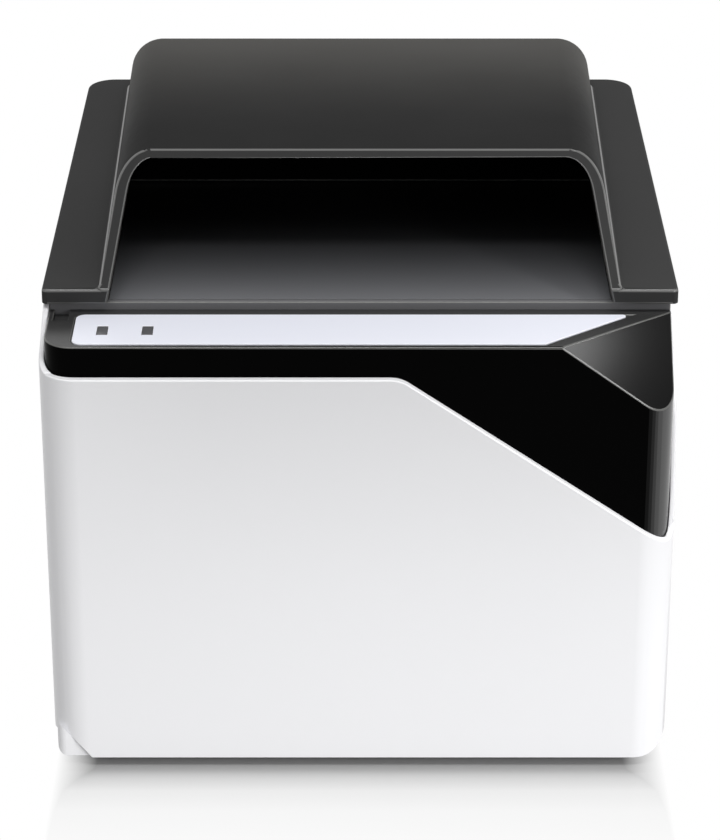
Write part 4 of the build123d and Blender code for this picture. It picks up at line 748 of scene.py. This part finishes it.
# Power socket: a block moulded in smooth black nylon, with a round mouth. Its centre pin is turned
# and nickel plated.
dressed("dc_socket", "body", "socket_black", 0.0002, smooth_nylon)
dressed("dc_pin", "body", "socket_nickel", 0.0001, nickel)

# Power switch: a snapped-in nylon frame with a rocker, and blade terminals behind. The rocker's ends
# carry printed white marks, a bar for on and a ring for off.
dressed("switch_frame", "body", "socket_black", 0.0002, smooth_nylon)
rocker = dressed("switch_rocker", "rocker", "socket_black", 0.0003, smooth_nylon)
finished(nickel, "switch_terminals")
print_ink = moulded("white_printing_ink", "#e9e9e6", 0.5, 0.3, 0.002)
mark_height, mark_line, ink_depth = 0.0026, 0.0005, 0.00006
pressed_faces = [face for face in rocker.data.polygons if face.normal.y > 0.8]
pressed_faces = sorted(pressed_faces, key=lambda face: -face.area)[:2]
pressed_faces.sort(key=lambda face: face.center.z)
prints = bmesh.new()
for face, mark in zip(pressed_faces, ("ring", "bar")):
    turn = face.normal.to_track_quat("Z", "X").to_matrix().to_4x4()
    seat = Matrix.Translation(face.center) @ turn
    if mark == "bar":
        bar = Matrix.Diagonal((mark_height, mark_line, 2 * ink_depth, 1.0))
        bmesh.ops.create_cube(prints, size=1.0, matrix=seat @ bar)
    else:
        outward = Matrix.Translation(((mark_height - mark_line) / 2, 0.0, 0.0))
        section = outward @ Matrix.Rotation(pi / 2, 4, "X")
        ring = bmesh.new()
        bmesh.ops.create_grid(
            ring,
            x_segments=1,
            y_segments=1,
            size=0.5,
            matrix=section @ Matrix.Diagonal((mark_line, 2 * ink_depth, 1.0, 1.0)),
        )
        bmesh.ops.spin(
            ring,
            geom=ring.faces[:] + ring.edges[:] + ring.verts[:],
            cent=(0.0, 0.0, 0.0),
            axis=(0.0, 0.0, 1.0),
            angle=2 * pi,
            steps=40,
            use_merge=True,
        )
        bmesh.ops.remove_doubles(ring, verts=ring.verts, dist=1e-7)
        bmesh.ops.transform(ring, matrix=seat, verts=ring.verts)
        ring_mesh = bpy.data.meshes.new("ring")
        ring.to_mesh(ring_mesh)
        ring.free()
        prints.from_mesh(ring_mesh)
        bpy.data.meshes.remove(ring_mesh)
bmesh.ops.recalc_face_normals(prints, faces=prints.faces)
marks = placed("switch_marks", prints, print_ink)
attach(marks, "rocker")

# Hood: one moulding in dark grey ABS with a spark-eroded grain, hinged on two steel pins behind.
# Its edges have lost their grain to handling, and shine, and are painted paler as a painted
# highlight. Inside, the mouth is coloured matt near black, a painted shade. The roof is painted
# darker than the flanges, a painted shade, and paler towards the back, a painted sheen.
hood_abs = moulded("dark_grained_abs", "#363636", 0.55, 0.35, 0.006, level=0.02, variation=0.12)
# Painted highlight: the edges are a paler, glossier copy of the hood's ABS.
hood_edge_highlight_abs = moulded("dark_rubbed_edge_painted_highlight_abs", "#555554", 0.28, 0.5, 0.003, level=0.5)
# Painted shade: the inside of the mouth is coloured near black.
mouth_painted_shade = moulded("matt_black_mouth_painted_shade", "#060606", 0.85, 0.3, 0.01, level=0.0)
# Painted shade: the roof is a darker copy of the hood's ABS.
roof_painted_shade_abs = moulded(
    "dark_grained_roof_painted_shade_abs", "#151515", 0.5, 0.35, 0.006, level=0.02, variation=0.12
)
# Painted sheen: along y towards the back, the roof's colour is mixed towards a pale grey.
painted_sheen_from, painted_sheen_full, painted_sheen_share = -0.01, 0.125, 0.24
tree = roof_painted_shade_abs.node_tree
place = node(tree, "ShaderNodeTexCoord")
along = node(tree, "ShaderNodeSeparateXYZ", links={0: place.outputs["Object"]})
painted_sheen_ramp = node(
    tree,
    "ShaderNodeMapRange",
    values={"From Min": painted_sheen_from, "From Max": painted_sheen_full, "To Max": painted_sheen_share},
    links={"Value": along.outputs["Y"]},
    interpolation_type="SMOOTHSTEP",
)
painted_sheen_mix = next(made for made in tree.nodes if made.bl_idname == "ShaderNodeMix")
tree.links.new(painted_sheen_ramp.outputs[0], painted_sheen_mix.inputs[0])
hood = dressed(
    "hood_cover",
    "hood",
    "hood_grey",
    0.0005,
    hood_abs,
    hood_edge_highlight_abs,
    mouth_painted_shade,
    roof_painted_shade_abs,
    edge_finish=1,
    shortest=0.0004,
)

# Its faces are told apart by their place and by the way they face: the flanges' front top edge gets
# the painted highlight, what faces into the mouth the painted shade, and what faces up the roof's
# painted shade and sheen.
hood_low, hood_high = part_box("hood_cover")
flange_top, flange_edge = 0.1292, hood_low.z + 0.008
roof_low, roof_back = flange_top + 0.003, hood_high.y - 0.004
mouth_half, mouth_wall = 0.0668, 0.001
rubbed_highlight_index, mouth_index, roof_index = 1, 2, 3
for face in hood.data.polygons:
    place, way = face.center, face.normal
    chamfer = way.y < -0.25 and 0.2 < way.z < 0.98
    if chamfer and flange_edge < place.z < flange_top:
        face.material_index = rubbed_highlight_index
    if place.z < flange_top or place.y > roof_back:
        continue
    ceiling = way.z < -0.3
    cheek = abs(way.x) > 0.5 and place.x * way.x < 0 and abs(place.x) < mouth_half + mouth_wall
    back_wall = abs(way.y) > 0.9 and abs(place.x) < mouth_half
    upward = way.z > 0.2 and way.y > -0.3
    if ceiling or cheek or back_wall:
        face.material_index = mouth_index
    elif upward and place.z > roof_low:
        face.material_index = roof_index

# Feet and bumpers: moulded black rubber, dull and slightly dusty. The feet are under the base, and
# the bumpers on the deck lie under the closed hood.
rubber = moulded("black_moulded_rubber", "#1b1b1b", 0.75, 0.8, 0.02, level=0.3, dust=0.12)
for name in ("rubber_feet", "hood_bumpers"):
    dressed(name, "body", "rubber_black", 0.0003, rubber)

# Screws: cross recessed pan heads. Those that show under the base and on the back are blackened
# steel, and those inside are bright zinc.
blackened = plated("blackened_screw_steel", "#3a3a3b", 0.4, 0.4)
for name in ("base_screws", "rear_screws"):
    dressed(name, "body", "screw_black", 0.00012, blackened)
bright_zinc = plated("bright_zinc_screw_steel", "#c8cacb", 0.3, 0.4)
finished(bright_zinc, "bracket_screws", "board_screws", "indicator_screws")
finished(bright_zinc, "shroud_screws", "deck_screws")
